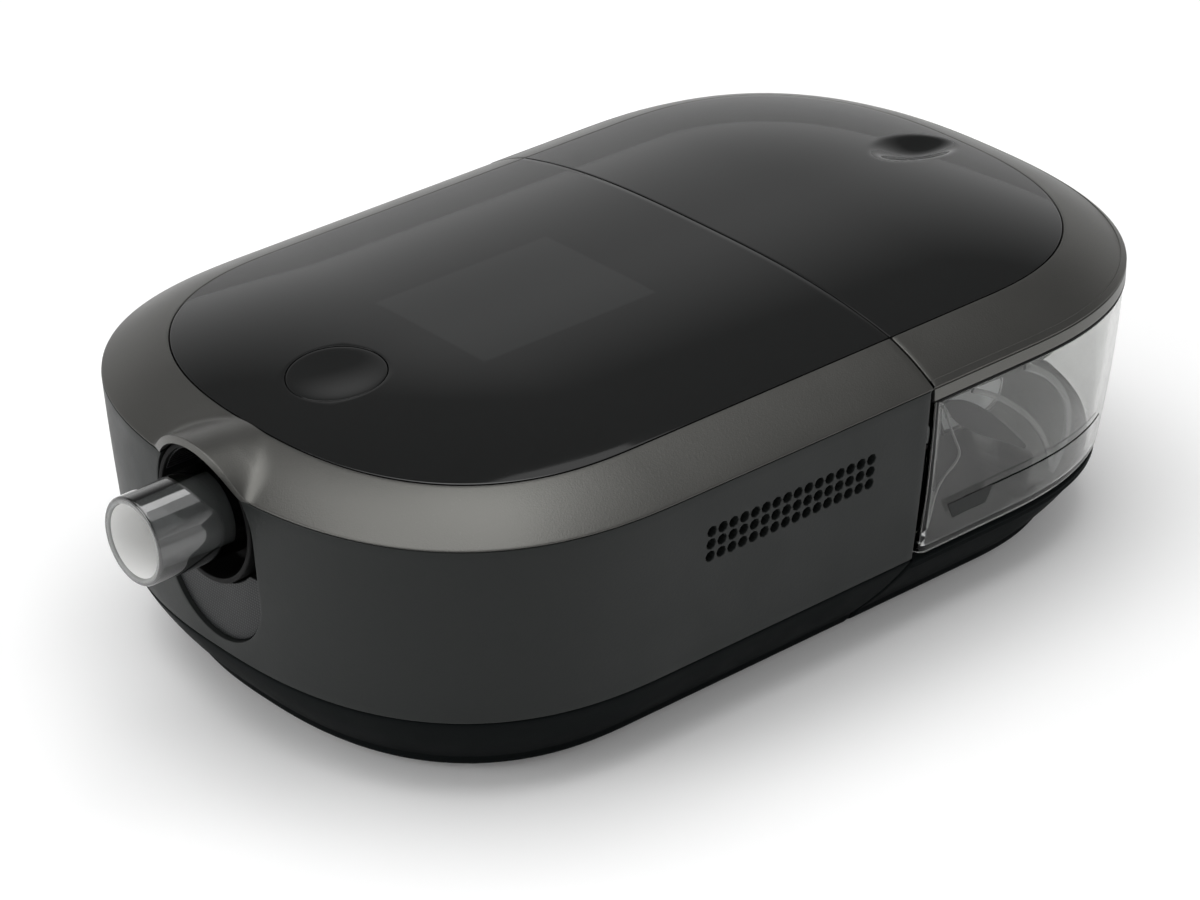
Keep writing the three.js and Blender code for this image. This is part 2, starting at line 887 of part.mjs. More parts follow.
// Recess plate: the finely textured pill below the well, parallel to the wall
function recessPlate() {
  const slab = cut(inside(wallLevels, plateSink), inside(wallLevels, plateSink + plateThickness));
  const pill = recess(fit, outletEnd - over, outletEnd + over);
  const well = turnedAlongX(
    [
      [outletEnd - over, 0],
      [outletEnd - over, wellWidth / 2],
      [outletEnd + over, wellWidth / 2],
      [outletEnd + over, 0],
    ],
    0,
    outletHeight,
    roundSides,
  );
  return slab
    .intersect(pill)
    .intersect(machineSide(outletEnd + wellDepth))
    .subtract(well)
    .intersect(belowPlane(outletHeight - outletRootWidth / 2));
}

// Outlet tube: a smooth conical connector, flanged behind the well
function outletTube() {
  const tip = outletEnd - outletReach;
  const back = outletEnd + wellDepth;
  const edge = outletWall / 3;
  return turnedAlongX(
    [
      [tip + edge, outletTipWidth / 2 - outletWall],
      [tip, outletTipWidth / 2 - outletWall + edge],
      [tip, outletTipWidth / 2 - edge],
      [tip + edge, outletTipWidth / 2],
      [back + fit, outletRootWidth / 2],
      [back + fit, outletRootWidth / 2 + outletFlange],
      [back + fit + plateThickness, outletRootWidth / 2 + outletFlange],
      [back + fit + plateThickness, outletRootWidth / 2 - outletWall],
      [tip + edge, outletTipWidth / 2 - outletWall],
    ],
    0,
    outletHeight,
    roundSides,
  );
}

// Return channel: carries moist air from the tank port forward to the outlet tube
function returnChannel() {
  const width = portWidth + 2 * ductWall;
  const back = outletEnd + wellDepth + 2 * fit + plateThickness;
  return bentTube(
    [
      [back, 0, outletHeight],
      [back + channelStraight, 0, outletHeight],
      [back + channelBend, -portSpread * channelSwingShare, outletHeight],
      [back + 2 * channelBend, -portSpread, outletHeight],
      [portInner - channelBend, -portSpread, (outletHeight + portHeight) / 2],
      [portInner - channelStraight, -portSpread, portHeight],
      [portInner, -portSpread, portHeight],
    ],
    width,
    ductWall,
  );
}

// Blower duct: from the scroll's mouth to the other port
function blowerDuct() {
  const width = portWidth + 2 * ductWall;
  const mouth = blowerX + scrollReach + fit;
  const side = blowerSide + scrollLarge - scrollThroat / 2;
  const height = blowerFloor + blowerHeight / 2;
  return bentTube(
    [
      [mouth, side, height],
      [mouth + portWidth / 4, side, height],
      [portInner - portWidth / 4, portSpread, portHeight],
      [portInner, portSpread, portHeight],
    ],
    width,
    ductWall,
    blowerDuctSteps,
  );
}

// The scroll outline of the blower, drawn in by inset
function scroll(inset, z0, z1) {
  const points = [];
  for (let i = 0; i <= scrollSteps; i++) {
    const share = i / scrollSteps;
    const turn = Math.PI / 2 - share * 2 * Math.PI;
    const radius = scrollSmall + share * (scrollLarge - scrollSmall) - inset;
    points.push(
      new THREE.Vector2(blowerX + radius * Math.cos(turn), blowerSide + radius * Math.sin(turn)),
    );
  }
  const mouth = block(
    [blowerX, blowerSide + scrollLarge - scrollThroat + inset, z0],
    [blowerX + scrollReach + (inset ? over : 0), blowerSide + scrollLarge - inset, z1],
  );
  return joined(prism(new THREE.Shape(points.reverse()), z0, z1), mouth);
}

function blowerBase() {
  const top = blowerFloor + blowerHeight;
  const ears = mountPlaces.map(([x, y]) =>
    post(x, y, blowerFloor, blowerFloor + earThickness, mountWidth, smallSides),
  );
  return cut(
    joined(scroll(0, blowerFloor, top), ...ears),
    scroll(blowerWall, blowerFloor + blowerWall, top + over).subtract(
      block(
        [blowerX + scrollReach - over, -halfWidth, top],
        [blowerX + scrollReach + 2 * over, halfWidth, top + 2 * over],
      ),
    ),
    post(blowerX, blowerSide, blowerFloor - over, top, shaftWidth + 4 * fit, midSides),
  );
}
function blowerCover() {
  const foot = blowerFloor + blowerHeight + fit;
  const plate = scroll(0, foot, foot + coverThickness);
  const collar = post(blowerX, blowerSide, foot, foot + coverThickness + collarHeight, collarWidth);
  const eye = collarWidth - 2 * blowerWall;
  return cut(joined(plate, collar), post(blowerX, blowerSide, foot - over, foot + over, eye));
}

// Impeller: a disc with backswept blades round a hub
function impeller() {
  const foot = blowerFloor + blowerWall + impellerRise;
  const top = foot + impellerHeight;
  const hub = turnedUpright(
    [
      [0, foot],
      [impellerWidth / 2, foot],
      [impellerWidth / 2, foot + impellerDisc],
      [impellerHub / 2 + impellerDisc, foot + impellerDisc],
      [impellerHub / 2, foot + impellerHeight / 2],
      [impellerHub / 2, top],
      [0, top],
    ],
    blowerX,
    blowerSide,
  );
  const blades = Array.from({ length: bladeCount }, (_, k) => {
    const start = (k / bladeCount) * 2 * Math.PI;
    const side = (shift) =>
      bladeShares.map((share) => {
        const radius = (bladeRoot + share * (impellerWidth - 2 * fit - bladeRoot)) / 2;
        const turn = start - share * bladeSweepShare * 2 * Math.PI;
        const x = radius * Math.cos(turn) - shift * Math.sin(turn);
        const y = radius * Math.sin(turn) + shift * Math.cos(turn);
        return new THREE.Vector2(blowerX + x, blowerSide + y);
      });
    const shape = new THREE.Shape([
      ...side(-bladeThickness / 2),
      ...side(bladeThickness / 2).reverse(),
    ]);
    return prism(shape, foot + impellerDisc / 2, top - impellerDisc);
  });
  const bore = post(blowerX, blowerSide, foot - over, foot + over, shaftWidth + 2 * fit, smallSides);
  return joined(hub, ...blades).subtract(bore);
}
function blowerMotor() {
  const top = blowerFloor - fit;
  const shaftTop = blowerFloor + blowerWall + impellerRise + impellerHeight - impellerDisc;
  return turnedUpright(
    [
      [0, top - motorHeight],
      [motorWidth / 2 - blowerWall, top - motorHeight],
      [motorWidth / 2, top - motorHeight + blowerWall],
      [motorWidth / 2, top],
      [shaftWidth / 2, top],
      [shaftWidth / 2, shaftTop],
      [0, shaftTop],
    ],
    blowerX,
    blowerSide,
  );
}
function blowerMount([x, y]) {
  const top = blowerFloor - fit;
  const foot = top - mountHeight;
  const waist = mountWidth / 2 - blowerWall / 2;
  return turnedUpright(
    [
      [0, foot],
      [mountWidth / 2, foot],
      [waist, (foot + top) / 2],
      [mountWidth / 2, top],
      [0, top],
    ],
    x,
    y,
    smallSides,
  );
}

// Boards, filter and padding
function mainBoard() {
  const x = outletEnd + mainBoardOffset;
  const low = mainBoardTop - boardThickness;
  const board = block(
    [x - mainBoardLength / 2, mainBoardSide - mainBoardWidth / 2, low],
    [x + mainBoardLength / 2, mainBoardSide + mainBoardWidth / 2, mainBoardTop],
  );
  const cans = [-2, -1, 0].map((k) =>
    post(
      x + k * canPitch,
      mainBoardSide,
      mainBoardTop - fit,
      mainBoardTop + canHeight,
      canWidth,
      smallSides,
    ),
  );
  const plugs = [1, 2].map((i) => i + plugStartShare).map((k) =>
    block(
      [x + k * canPitch - canWidth / 2, mainBoardSide - canWidth / 2, mainBoardTop - fit],
      [x + k * canPitch + canWidth / 2, mainBoardSide + canWidth / 2, mainBoardTop + canHeight / 2],
    ),
  );
  return joined(board, ...cans, ...plugs);
}
function muffleFoam() {
  const x0 = outletEnd + foamOffset;
  const y0 = wellWidth / 2 + 2 * fit;
  return block(
    [x0, y0, floorTop + fit],
    [x0 + foamLength, y0 + foamWidth, floorTop + fit + foamHeight],
  );
}
function filterBox() {
  const depth = filterThickness + fineFilterThickness + 4 * fit + filterBoxWall;
  const outer = block(
    [doorX - doorLength / 2 - filterBoxWall, filterOuter - depth, doorFoot - filterBoxWall],
    [
      doorX + doorLength / 2 + filterBoxWall,
      filterOuter,
      doorFoot + doorHeight + filterBoxWall,
    ],
  );
  const bay = block(
    [doorX - doorLength / 2, filterOuter - depth + filterBoxWall, doorFoot],
    [doorX + doorLength / 2, filterOuter + over, doorFoot + doorHeight],
  );
  const throat = block(
    [doorX - doorLength / 3, filterOuter - depth - over, doorFoot + doorHeight / 6],
    [doorX + doorLength / 3, filterOuter, doorFoot + (doorHeight * 5) / 6],
  );
  return cut(outer, bay, throat);
}
function filterSlab(back, thickness) {
  return block(
    [doorX - doorLength / 2 + fit, back, doorFoot + fit],
    [doorX + doorLength / 2 - fit, back + thickness, doorFoot + doorHeight - fit],
  );
}
// Filter door: a curved slice of the wall that swings down on two stub pins
function filterDoor() {
  const slab = cut(inside(wallLevels, 0), inside(wallLevels, doorThickness));
  const leaf = slab.intersect(doorOpening(-fit));
  const grip = block(
    [doorX - doorGripWidth / 2, 0, doorFoot + doorHeight - doorGripHeight],
    [doorX + doorGripWidth / 2, halfWidth + over, doorFoot + doorHeight],
  ).subtract(inside(wallLevels, doorThickness / 2));
  return joined(leaf.subtract(grip), ...doorPins(0));
}

function powerInlet() {
  const face = halfWidth - wallMidInset - shellWall / 2;
  const shell = block(
    [powerX - powerLength / 2, face - powerDepth, powerFoot],
    [powerX + powerLength / 2, face, powerFoot + powerHeight],
  );
  const middle = powerFoot + powerHeight / 2;
  const round = (width, y0, y1) => {
    const geometry = new THREE.CylinderGeometry(width / 2, width / 2, y1 - y0, midSides);
    geometry.translate(powerX, (y0 + y1) / 2, middle);
    return solid(geometry);
  };
  const bore = round(powerBore, face - powerDepth + shellWall, face + over);
  const pin = round(powerPin, face - powerDepth + shellWall / 2, face - shellWall / 2);
  const flangeFace = halfWidth - wallFootInset - shellWall - fit;
  const flangeHalf = powerLength / 2 + shellWall;
  const flange = block(
    [powerX - flangeHalf, flangeFace - shellWall, powerFoot - shellWall],
    [powerX + flangeHalf, flangeFace, powerFoot + powerHeight + shellWall],
  );
  return joined(cut(joined(shell, flange), bore), pin);
}

// Port seal: a rubber ring held in the bulkhead, pressed by the tank
function portSealRing(side) {
  const inner = portWidth / 2 - portSealWall;
  const outer = portWidth / 2 - fit;
  const start = portInner + 2 * fit;
  return turnedAlongX(
    [
      [start, inner],
      [start, outer],
      [machineEnd + tankGap / 2, outer],
      [machineEnd + tankGap / 2, inner],
      [start, inner],
    ],
    side * portSpread,
    portHeight,
    midSides,
  );
}

// Cradle: the platform under the tank, hollow round the heater
function tankCradle() {
  const levels = [...baseLevels.slice(0, -1), [wallFootInset + seam, cradleTop]];
  const body = loft(levels).intersect(cradleHalf(seam));
  const hollow = inside(levels, shellWall, 0, 0)
    .subtract(belowPlane(floorTop))
    .intersect(belowPlane(cradleTop - shellWall))
    .intersect(cradleHalf(seam + shellWall));
  const seatFoot = cradleTop - heaterThickness - fit;
  const seat = post(heaterX, 0, seatFoot, cradleTop + over, heaterWidth + 2 * fit, roundSides);
  const feet = footPlaces
    .filter(([x]) => x > tankStart)
    .map(([x, y]) => post(x, y, footHeight - over, footHeight + footSink, footWidth + 2 * fit));
  return cut(body, hollow, seat, ...feet);
}
function heaterPlate() {
  return turnedUpright(
    [
      [0, cradleTop - heaterThickness],
      [heaterWidth / 2 - heaterFlange, cradleTop - heaterThickness],
      [heaterWidth / 2, cradleTop - heaterThickness / 2],
      [heaterWidth / 2, cradleTop],
      [0, cradleTop],
    ],
    heaterX,
    0,
    roundSides,
  );
}
function heaterPad() {
  return post(
    heaterX,
    0,
    floorTop + fit,
    cradleTop - heaterThickness - fit,
    insulatorWidth,
    roundSides,
  );
}

// A loft cut off at the tank's face, drawn in alike on the flat side
const tankForm = (levels, inset) =>
  inside(levels, inset, 0, 0).intersect(tankSide(tankFace + inset));
const tankLevels = [
  [wallFootInset + seam, tankFoot],
  [wallFootInset, baseTop + tankFloor],
  [wallMidInset, (baseTop + wallTop) / 2],
  [tankRimInset, tankTop],
];

// Water tank: a clear drafted bowl with two ports in its flat wall
function waterTank() {
  const outer = tankForm(tankLevels, 0);
  const open = [...tankLevels, [tankRimInset, tankTop + over]];
  const hollow = tankForm(open, tankWall).subtract(belowPlane(tankFoot + tankFloor));
  const sumpWidth = heaterWidth - 2 * waterPlateRim;
  const sump = post(heaterX, 0, tankFoot - over, tankFoot + over, sumpWidth, roundSides);
  const shelfTop = tankFoot + waterPlateThickness + fit;
  const shelf = post(heaterX, 0, tankFoot - over, shelfTop, heaterWidth, roundSides);
  const ports = [-1, 1].map((side) =>
    turnedAlongX(
      [
        [tankFace - over / 2, 0],
        [tankFace - over / 2, portWidth / 2],
        [tankFace + over / 2, portWidth / 2],
        [tankFace + over / 2, 0],
      ],
      side * portSpread,
      portHeight,
      midSides,
    ),
  );
  const knuckle = hingeBarrel(-knuckleLength / 2, knuckleLength / 2);
  const web = block(
    [halfLength - 3 * tankWall, -knuckleLength / 2, hingeHeight - knuckleWidth / 2],
    [hingeX, knuckleLength / 2, hingeHeight + knuckleWidth / 2],
  ).subtract(inside([[tankRimInset, hingeHeight]], tankWall));
  const relief = [-1, 1].map((side) => {
    const ends = [side * (knuckleLength / 2 - fit), side * (knuckleCount * knuckleLength) / 2 + side * fit];
    return hingeBarrel(Math.min(...ends), Math.max(...ends), fit);
  });
  const bowl = cut(outer, hollow, ...relief);
  return cut(joined(bowl, knuckle, web), sump, shelf, ...ports, hingeBore());
}
function hingeBarrel(y0, y1, clearance = 0) {
  const radius = knuckleWidth / 2 + clearance;
  const geometry = new THREE.CylinderGeometry(radius, radius, y1 - y0, midSides);
  geometry.translate(hingeX, (y0 + y1) / 2, hingeHeight);
  return solid(geometry);
}
function hingeBore() {
  const length = (knuckleCount + 1) * knuckleLength;
  const geometry = new THREE.CylinderGeometry(pinWidth / 2 + fit, pinWidth / 2 + fit, length, smallSides);
  geometry.translate(hingeX, 0, hingeHeight);
  return solid(geometry);
}
function hingePin() {
  const length = knuckleCount * knuckleLength;
  const geometry = new THREE.CylinderGeometry(pinWidth / 2, pinWidth / 2, length, smallSides);
  geometry.translate(hingeX, 0, hingeHeight);
  return solid(geometry);
}
function waterPlate() {
  return post(heaterX, 0, tankFoot, tankFoot + waterPlateThickness, heaterWidth - 2 * fit, roundSides);
}

// Air guides: bent tubes that lead air into and out of the tank over the water
function airGuide(side) {
  const x = tankFace + tankWall + fit;
  const y = side * portSpread;
  return bentTube(
    [
      [x, y, portHeight],
      [x + guideReach / 4, y, portHeight],
      [x + guideReach / 2, y, portHeight - guideDrop / 8],
      [x + guideReach, y * guideInwardShare, portHeight - guideDrop],
    ],
    portWidth + ductWall,
    ductWall,
    shortDuctSteps,
  );
}

// Splash arch: a curved guard over the water between the two guides
function splashArch() {
  const foot = tankFoot + waterPlateThickness + fit;
  const arc = (inset, from, to) =>
    Array.from({ length: archSteps + 1 }, (_, i) => {
      const turn = from + (i / archSteps) * (to - from);
      return new THREE.Vector2(
        heaterX + (archSpan - inset) * Math.cos(turn),
        archRise + (archCrown - inset) * Math.sin(turn),
      );
    });
  const inner = archSpan - archThickness;
  const points = [
    new THREE.Vector2(heaterX + archSpan, foot),
    ...arc(0, 0, Math.PI),
    new THREE.Vector2(heaterX - archSpan, foot),
    new THREE.Vector2(heaterX - inner, foot),
    ...arc(archThickness, Math.PI, 0),
    new THREE.Vector2(heaterX + inner, foot),
  ];
  const geometry = new THREE.ExtrudeGeometry(new THREE.Shape(points), {
    depth: archWidth,
    bevelEnabled: false,
  });
  geometry.rotateX(Math.PI / 2);
  geometry.translate(0, archWidth / 2, 0);
  return solid(geometry);
}

// Lid seal: the black line between tank and lid
function lidSeal() {
  const top = skirtFoot - fit / 2;
  const levels = [
    [tankRimInset - fit, tankTop + fit / 2],
    [tankRimInset - fit, top],
  ];
  return tankForm(levels, 0).subtract(
    tankForm(
      levels.map(([inset, z], i) => [inset, i ? z + over : z - over]),
      sealWidth,
    ),
  );
}

// Lid: the rim's slope over the tank, a skirt below it and a floor that closes the tank
function lidShell() {
  const levels = [[skirtInset, skirtFoot], [skirtInset, wallTop - seam], ...rimLevels];
  const outer = tankForm(levels, 0);
  const hollow = tankForm(
    [
      [0, skirtFoot + lidFloor],
      [0, wallTop],
      [rimMidInset, wallTop + rimMidRise - shellWall],
      [rimInset + ledgeWidth - shellWall, rimTop - panelThickness - fit - ledgeThickness],
      [rimInset + ledgeWidth - shellWall, rimTop + over],
    ],
    shellWall,
  );
  const pocket = loft([
    [rimInset, rimTop - panelThickness - fit],
    [rimInset, rimTop + over],
  ]).intersect(tankSide(tankFace - over));
  const knuckles = [-1, 1].map((side) => {
    const near = (side * knuckleLength) / 2 + side * fit;
    const far = side * ((knuckleCount * knuckleLength) / 2);
    const low = Math.min(near, far);
    const high = Math.max(near, far);
    const barrel = hingeBarrel(low, high);
    const web = block(
      [halfLength, low, hingeHeight],
      [hingeX + knuckleWidth / 2, high, skirtFoot + lidFloor],
    );
    const root = block(
      [halfLength - shellWall, low, skirtFoot],
      [halfLength + hingeReach, high, skirtFoot + lidFloor],
    );
    return joined(barrel, web, root);
  });
  return cut(joined(cut(outer, hollow, pocket), ...knuckles), hingeBore());
}

// Lid panel: the other part of the glossy dome, with a scoop for the thumb
function lidPanel() {
  const plate = dome(panelThickness).intersect(tankSide(tankFace));
  const thick = dome(panelThickness + dimpleDepth).intersect(
    post(dimpleX, 0, 0, bodyHeight + over, dimpleLength + 2 * panelThickness, midSides),
  );
  const scoop = new THREE.SphereGeometry(1, midSides, smallSides);
  scoop.scale(dimpleLength / 2, dimpleWidth / 2, dimpleDepth);
  const drop = domeHeightAt(dimpleX, 0) - domeHeightAt(dimpleX + dimpleLength / 2, 0);
  scoop.rotateY(Math.atan2(drop, dimpleLength / 2));
  scoop.translate(dimpleX, 0, domeHeightAt(dimpleX, 0));
  return joined(plate, thick.subtract(belowPlane(rimTop - panelThickness))).subtract(solid(scoop));
}

function foot([x, y]) {
  return turnedUpright(
    [
      [0, 0],
      [footWidth / 2 - footSink, 0],
      [footWidth / 2, footSink],
      [footWidth / 2, footHeight + footSink - fit],
      [0, footHeight + footSink - fit],
    ],
    x,
    y,
    midSides,
  );
}
function caseScrew([x, y]) {
  const head = footHeight + fit;
  return turnedUpright(
    [
      [0, head],
      [screwHead / 2, head],
      [screwHead / 2, head + screwHeadHeight - fit],
      [screwWidth / 2, head + screwHeadHeight - fit],
      [screwWidth / 2, head + screwLength],
      [0, head + screwLength],
    ],
    x,
    y,
    smallSides,
  );
}

place("base_tray", baseTray(), "base");
place("side_shell", sideShell(), "wall");
place("top_shell", topShell(), "rim");
place("top_panel", topPanel(), "panel");
place("start_button", startButton(), "panel");
place("button_spring", buttonSpring(), "steel");
place("button_switch", buttonSwitch(), "black");
place("control_board", controlBoard(), "board");
place("display_module", displayModule(), "black");
place("outlet_well", outletWell(), "black");
place("recess_plate", recessPlate(), "wall");
place("outlet_tube", outletTube(), "smoke");
place("return_channel", returnChannel(), "silicone");
place("blower_duct", blowerDuct(), "silicone");
place("blower_base", blowerBase(), "white");
place("blower_cover", blowerCover(), "white");
place("impeller", impeller(), "white");
place("blower_motor", blowerMotor(), "steel");
mountPlaces.forEach((at, i) => place(`blower_mount_${i + 1}`, blowerMount(at), "rubber"));
place("main_board", mainBoard(), "board");
place("muffle_foam", muffleFoam(), "foam");
place("filter_box", filterBox(), "black");
place("fine_filter", filterSlab(filterBack, fineFilterThickness), "white");
place("pollen_filter", filterSlab(filterBack + fineFilterThickness + fit, filterThickness), "foam");
place("filter_door", filterDoor(), "wall");
place("power_inlet", powerInlet(), "black");
place("port_seal_in", portSealRing(1), "rubber");
place("port_seal_out", portSealRing(-1), "rubber");
place("tank_cradle", tankCradle(), "base");
place("heater_plate", heaterPlate(), "steel");
place("heater_pad", heaterPad(), "foam");
place("water_tank", waterTank(), "clear");
place("water_plate", waterPlate(), "steel");
place("air_guide_in", airGuide(1), "smoke");
place("air_guide_out", airGuide(-1), "smoke");
place("splash_arch", splashArch(), "smoke");
place("lid_seal", lidSeal(), "rubber");
place("lid_shell", lidShell(), "rim");
place("lid_panel", lidPanel(), "panel");
place("hinge_pin", hingePin(), "steel");
footPlaces.forEach((at, i) => place(`foot_${i + 1}`, foot(at), "rubber"));
bossPlaces.forEach((at, i) => place(`case_screw_${i + 1}`, caseScrew(at), "steel"));

// The origin is on the ground, midway between the outlet's tip and the tank's end
root.position.x = (outletReach - hingeReach - knuckleWidth / 2) / 2;
export default root;
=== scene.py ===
"""Bedside breathing machine with a water tank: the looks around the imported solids.

Lengths inside the shape functions are millimetres from the middle of the housing; put() moves
them to the part's frame and to metres. The housing is seen with its air outlet at -X, the tank at
+X, the button side up and the vent side at -Y.
"""

import math

import bpy
import numpy as np
from bpy.props import FloatProperty, FloatVectorProperty, IntProperty, PointerProperty
from mathutils import Matrix, Vector


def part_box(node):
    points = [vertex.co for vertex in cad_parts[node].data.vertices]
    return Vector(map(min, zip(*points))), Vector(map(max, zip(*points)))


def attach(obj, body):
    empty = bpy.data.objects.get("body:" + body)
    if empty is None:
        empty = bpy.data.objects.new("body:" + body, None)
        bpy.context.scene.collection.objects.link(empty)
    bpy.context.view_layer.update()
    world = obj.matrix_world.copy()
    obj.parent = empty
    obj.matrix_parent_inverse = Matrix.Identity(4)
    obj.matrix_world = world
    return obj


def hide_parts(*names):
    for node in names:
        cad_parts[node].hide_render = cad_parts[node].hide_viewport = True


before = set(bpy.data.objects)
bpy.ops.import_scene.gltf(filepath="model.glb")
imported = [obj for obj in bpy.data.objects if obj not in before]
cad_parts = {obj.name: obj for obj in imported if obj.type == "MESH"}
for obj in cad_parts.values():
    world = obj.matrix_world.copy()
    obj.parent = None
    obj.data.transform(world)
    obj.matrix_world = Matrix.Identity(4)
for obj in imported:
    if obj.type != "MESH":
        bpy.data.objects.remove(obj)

bl_info = {
    "name": "Bedside breathing machine",
    "version": (1, 0, 0),
    "blender": (4, 5, 0),
    "location": "View3D > Sidebar > Machine",
    "description": "Builds the housing, outlet, tank and lid of a bedside breathing machine",
    "category": "Object",
}

MILLI = 0.001
MIDDLE = 7.7  # the housing's middle lies this far along +X in the part's frame
QUARTER, FULL = math.pi / 2, 2 * math.pi
EX, EY, EZ = (1.0, 0.0, 0.0), (0.0, 1.0, 0.0), (0.0, 0.0, 1.0)
SHARP = math.radians(40)  # edges bent less than this are shaded smooth
SQUARE = 0.0001  # corner radius of an outline whose flat end has sharp corners
PANEL_GAP = 0.35  # between the rim's inner edge and the gloss panels
WALL = 2.3  # thickness of the side wall, the gloss panels and the tank
PORTS, PORT_Z = (-38.0, 38.0), 48.0  # centres of the two air ports, across and up
PORT_BLOCK, PORT_LOW, PORT_HIGH = 15, 30.5, 63.5  # grid block round a port
HEATER = (-82.0, 0.0)  # centre of the heater's well, on the side that mirrored() turns over
HINGE = (136.4, 0.0, 63.9)  # axis of the lid's hinge
SEAM = 68.5  # height of the lid's underside
# pairs of (height, inset) that the drafted sides run through
WALL_DRAFT = ((22.5, 4.5), (47.1, 1.9), (71.7, 0.0))
BASE_DRAFT = ((4.6, 16.8), (13.35, 9.6), (22.1, 4.5))
TANK_DRAFT = ((24.7, 4.5), (47.1, 1.9), (67.2, 0.7))


# ---------------------------------------------------------------- sizes and colours


def length(name, description, default):
    return FloatProperty(name=name, description=description, default=default, subtype="DISTANCE")


def colour(name, description, default):
    return FloatVectorProperty(
        name=name, description=description, default=default, subtype="COLOR", size=3, min=0, max=1
    )


class HousingSizes(bpy.types.PropertyGroup):
    width: length("Width", "Across the housing at the seam under the rim", 0.169)
    straight: length("Straight half", "Half of the straight part of each long side", 0.058)
    end_depth: length("End depth", "How far each rounded end reaches past the straight part", 0.077)
    end_power: FloatProperty(
        name="End power", description="Power of the rounded ends; 2 is an ellipse", default=2.48
    )
    machine_end: length("Machine end", "Where the machine's flat end stands", 0.02495)
    tank_face: length("Tank face", "Where the tank's flat face stands", 0.02545)
    foot: length("Foot height", "Underside of the base above the floor", 0.002)
    base_top: length("Base top", "Seam between the base and the wall", 0.0221)
    wall_top: length("Wall top", "Seam between the wall and the rim", 0.0721)
    rim_top: length("Rim top", "Inner edge of the rim", 0.0799)
    dome_rise: length("Dome rise", "How far the gloss panel rises above the rim", 0.0059)
    rim_inset: length("Rim inset", "Width of the rim, seen from above", 0.0158)
    lean: FloatProperty(
        name="Seam lean",
        description="Lean of the seam between base and cradle",
        default=math.radians(27),
        subtype="ANGLE",
    )


class OutletSizes(bpy.types.PropertyGroup):
    height: length("Height", "Height of the outlet's axis", 0.0615)
    well: length("Well width", "Width of the round-ended recess", 0.0366)
    recess_foot: length("Recess foot", "Lowest point of the recess", 0.026)
    tip: length("Tip width", "Width of the tube at its free end", 0.0224)
    root: length("Root width", "Width of the tube at its root", 0.0234)
    reach: length("Reach", "How far the tube stands out of the housing", 0.0198)


class PanelSizes(bpy.types.PropertyGroup):
    button_x: length("Button place", "Place of the button along the housing", -0.093)
    button: length("Button width", "Width of the button's hole in the panel", 0.0248)
    dish: length("Button dish", "Depth of the button's hollow", 0.0006)
    scoop_x: length("Scoop place", "Place of the thumb scoop in the lid", 0.102)
    scoop_length: length("Scoop length", "Length of the thumb scoop", 0.0295)
    scoop_width: length("Scoop width", "Width of the thumb scoop", 0.0172)
    scoop_depth: length("Scoop depth", "Depth of the thumb scoop", 0.0030)
    vent_columns: IntProperty(name="Vent columns", description="Vent holes in a row", default=16)
    vent_rows: IntProperty(name="Vent rows", description="Rows of vent holes", default=3)
    vent_pitch: length("Vent pitch", "Distance between vent holes", 0.0035)
    vent_width: length("Vent width", "Width of a vent hole", 0.00305)


class FinishColours(bpy.types.PropertyGroup):
    base: colour("Base", "Dark underside and cradle", (0.0060, 0.0072, 0.0074))
    wall: colour("Wall", "Side wall", (0.0140, 0.0158, 0.0152))
    rim: colour("Rim", "Satin rim round the top", (0.118, 0.117, 0.110))
    panel: colour("Panel", "Gloss panels", (0.0080, 0.0084, 0.0083))
    tank: colour("Tank", "Clear tank", (0.73, 0.735, 0.725))
    smoke: colour("Outlet", "Smoky clear outlet", (0.30, 0.31, 0.31))
    floor: colour("Floor", "Floor and backdrop", (0.98, 0.98, 0.98))


GROUPS = (
    ("machine_housing", HousingSizes),
    ("machine_outlet", OutletSizes),
    ("machine_panel", PanelSizes),
    ("machine_finish", FinishColours),
)


def mm(value):
    return value / MILLI


# ---------------------------------------------------------------- surfaces as arrays


def grid(points, closed=False):
    """Faces of a grid of points[u, v]: each cell is one quad, and closed joins the last row of u
    to the first. Returns the points as a list and the quads."""
    nu, nv = points.shape[:2]
    i = np.arange(nu if closed else nu - 1)[:, None]
    j = np.arange(nv - 1)[None, :]
    k = (i + 1) % nu
    quads = np.stack([i * nv + j, k * nv + j, k * nv + j + 1, i * nv + j + 1], -1)
    return points.reshape(-1, 3), quads.reshape(-1, 4)


def skin(x, y, z, closed=False):
    """The grid of the points (x, y, z), given as three arrays."""
    return grid(np.stack(np.broadcast_arrays(x, y, z), -1), closed)


def lattice(us, vs):
    return np.meshgrid(us, vs, indexing="ij")


def together(*parts):
    """One surface from several: their points one after the other, with the faces moved up."""
    points, faces, start = [], [], 0
    for p, f in parts:
        points.append(p)
        faces.append(f + start)
        start += len(p)
    return np.concatenate(points), np.concatenate(faces)


def turned(surface):
    """The same surface with its faces the other way round."""
    return surface[0], surface[1][:, ::-1]


def mirrored(surface):
    """The surface on the other side of x = 0, with its faces kept outward."""
    return surface[0] * np.array([-1.0, 1.0, 1.0]), surface[1][:, ::-1]


def welded(surface, grain=1e-3):
    """Merges points that share the same cell of a lattice of size grain, and drops faces that
    have fewer than three points left."""
    points, faces = surface
    key = np.round(points / grain).astype(np.int64)
    _, first, back = np.unique(key, axis=0, return_index=True, return_inverse=True)
    points, faces = points[first], back.reshape(-1)[faces]
    equal = faces == np.roll(faces, -1, 1)
    crossed = (faces[:, 0] == faces[:, 2]) | (faces[:, 1] == faces[:, 3])
    return points, faces[(equal.sum(1) < 2) & ~crossed]


def unit(vectors, least=1e-12):
    return vectors / np.maximum(np.linalg.norm(vectors, axis=-1, keepdims=True), least)


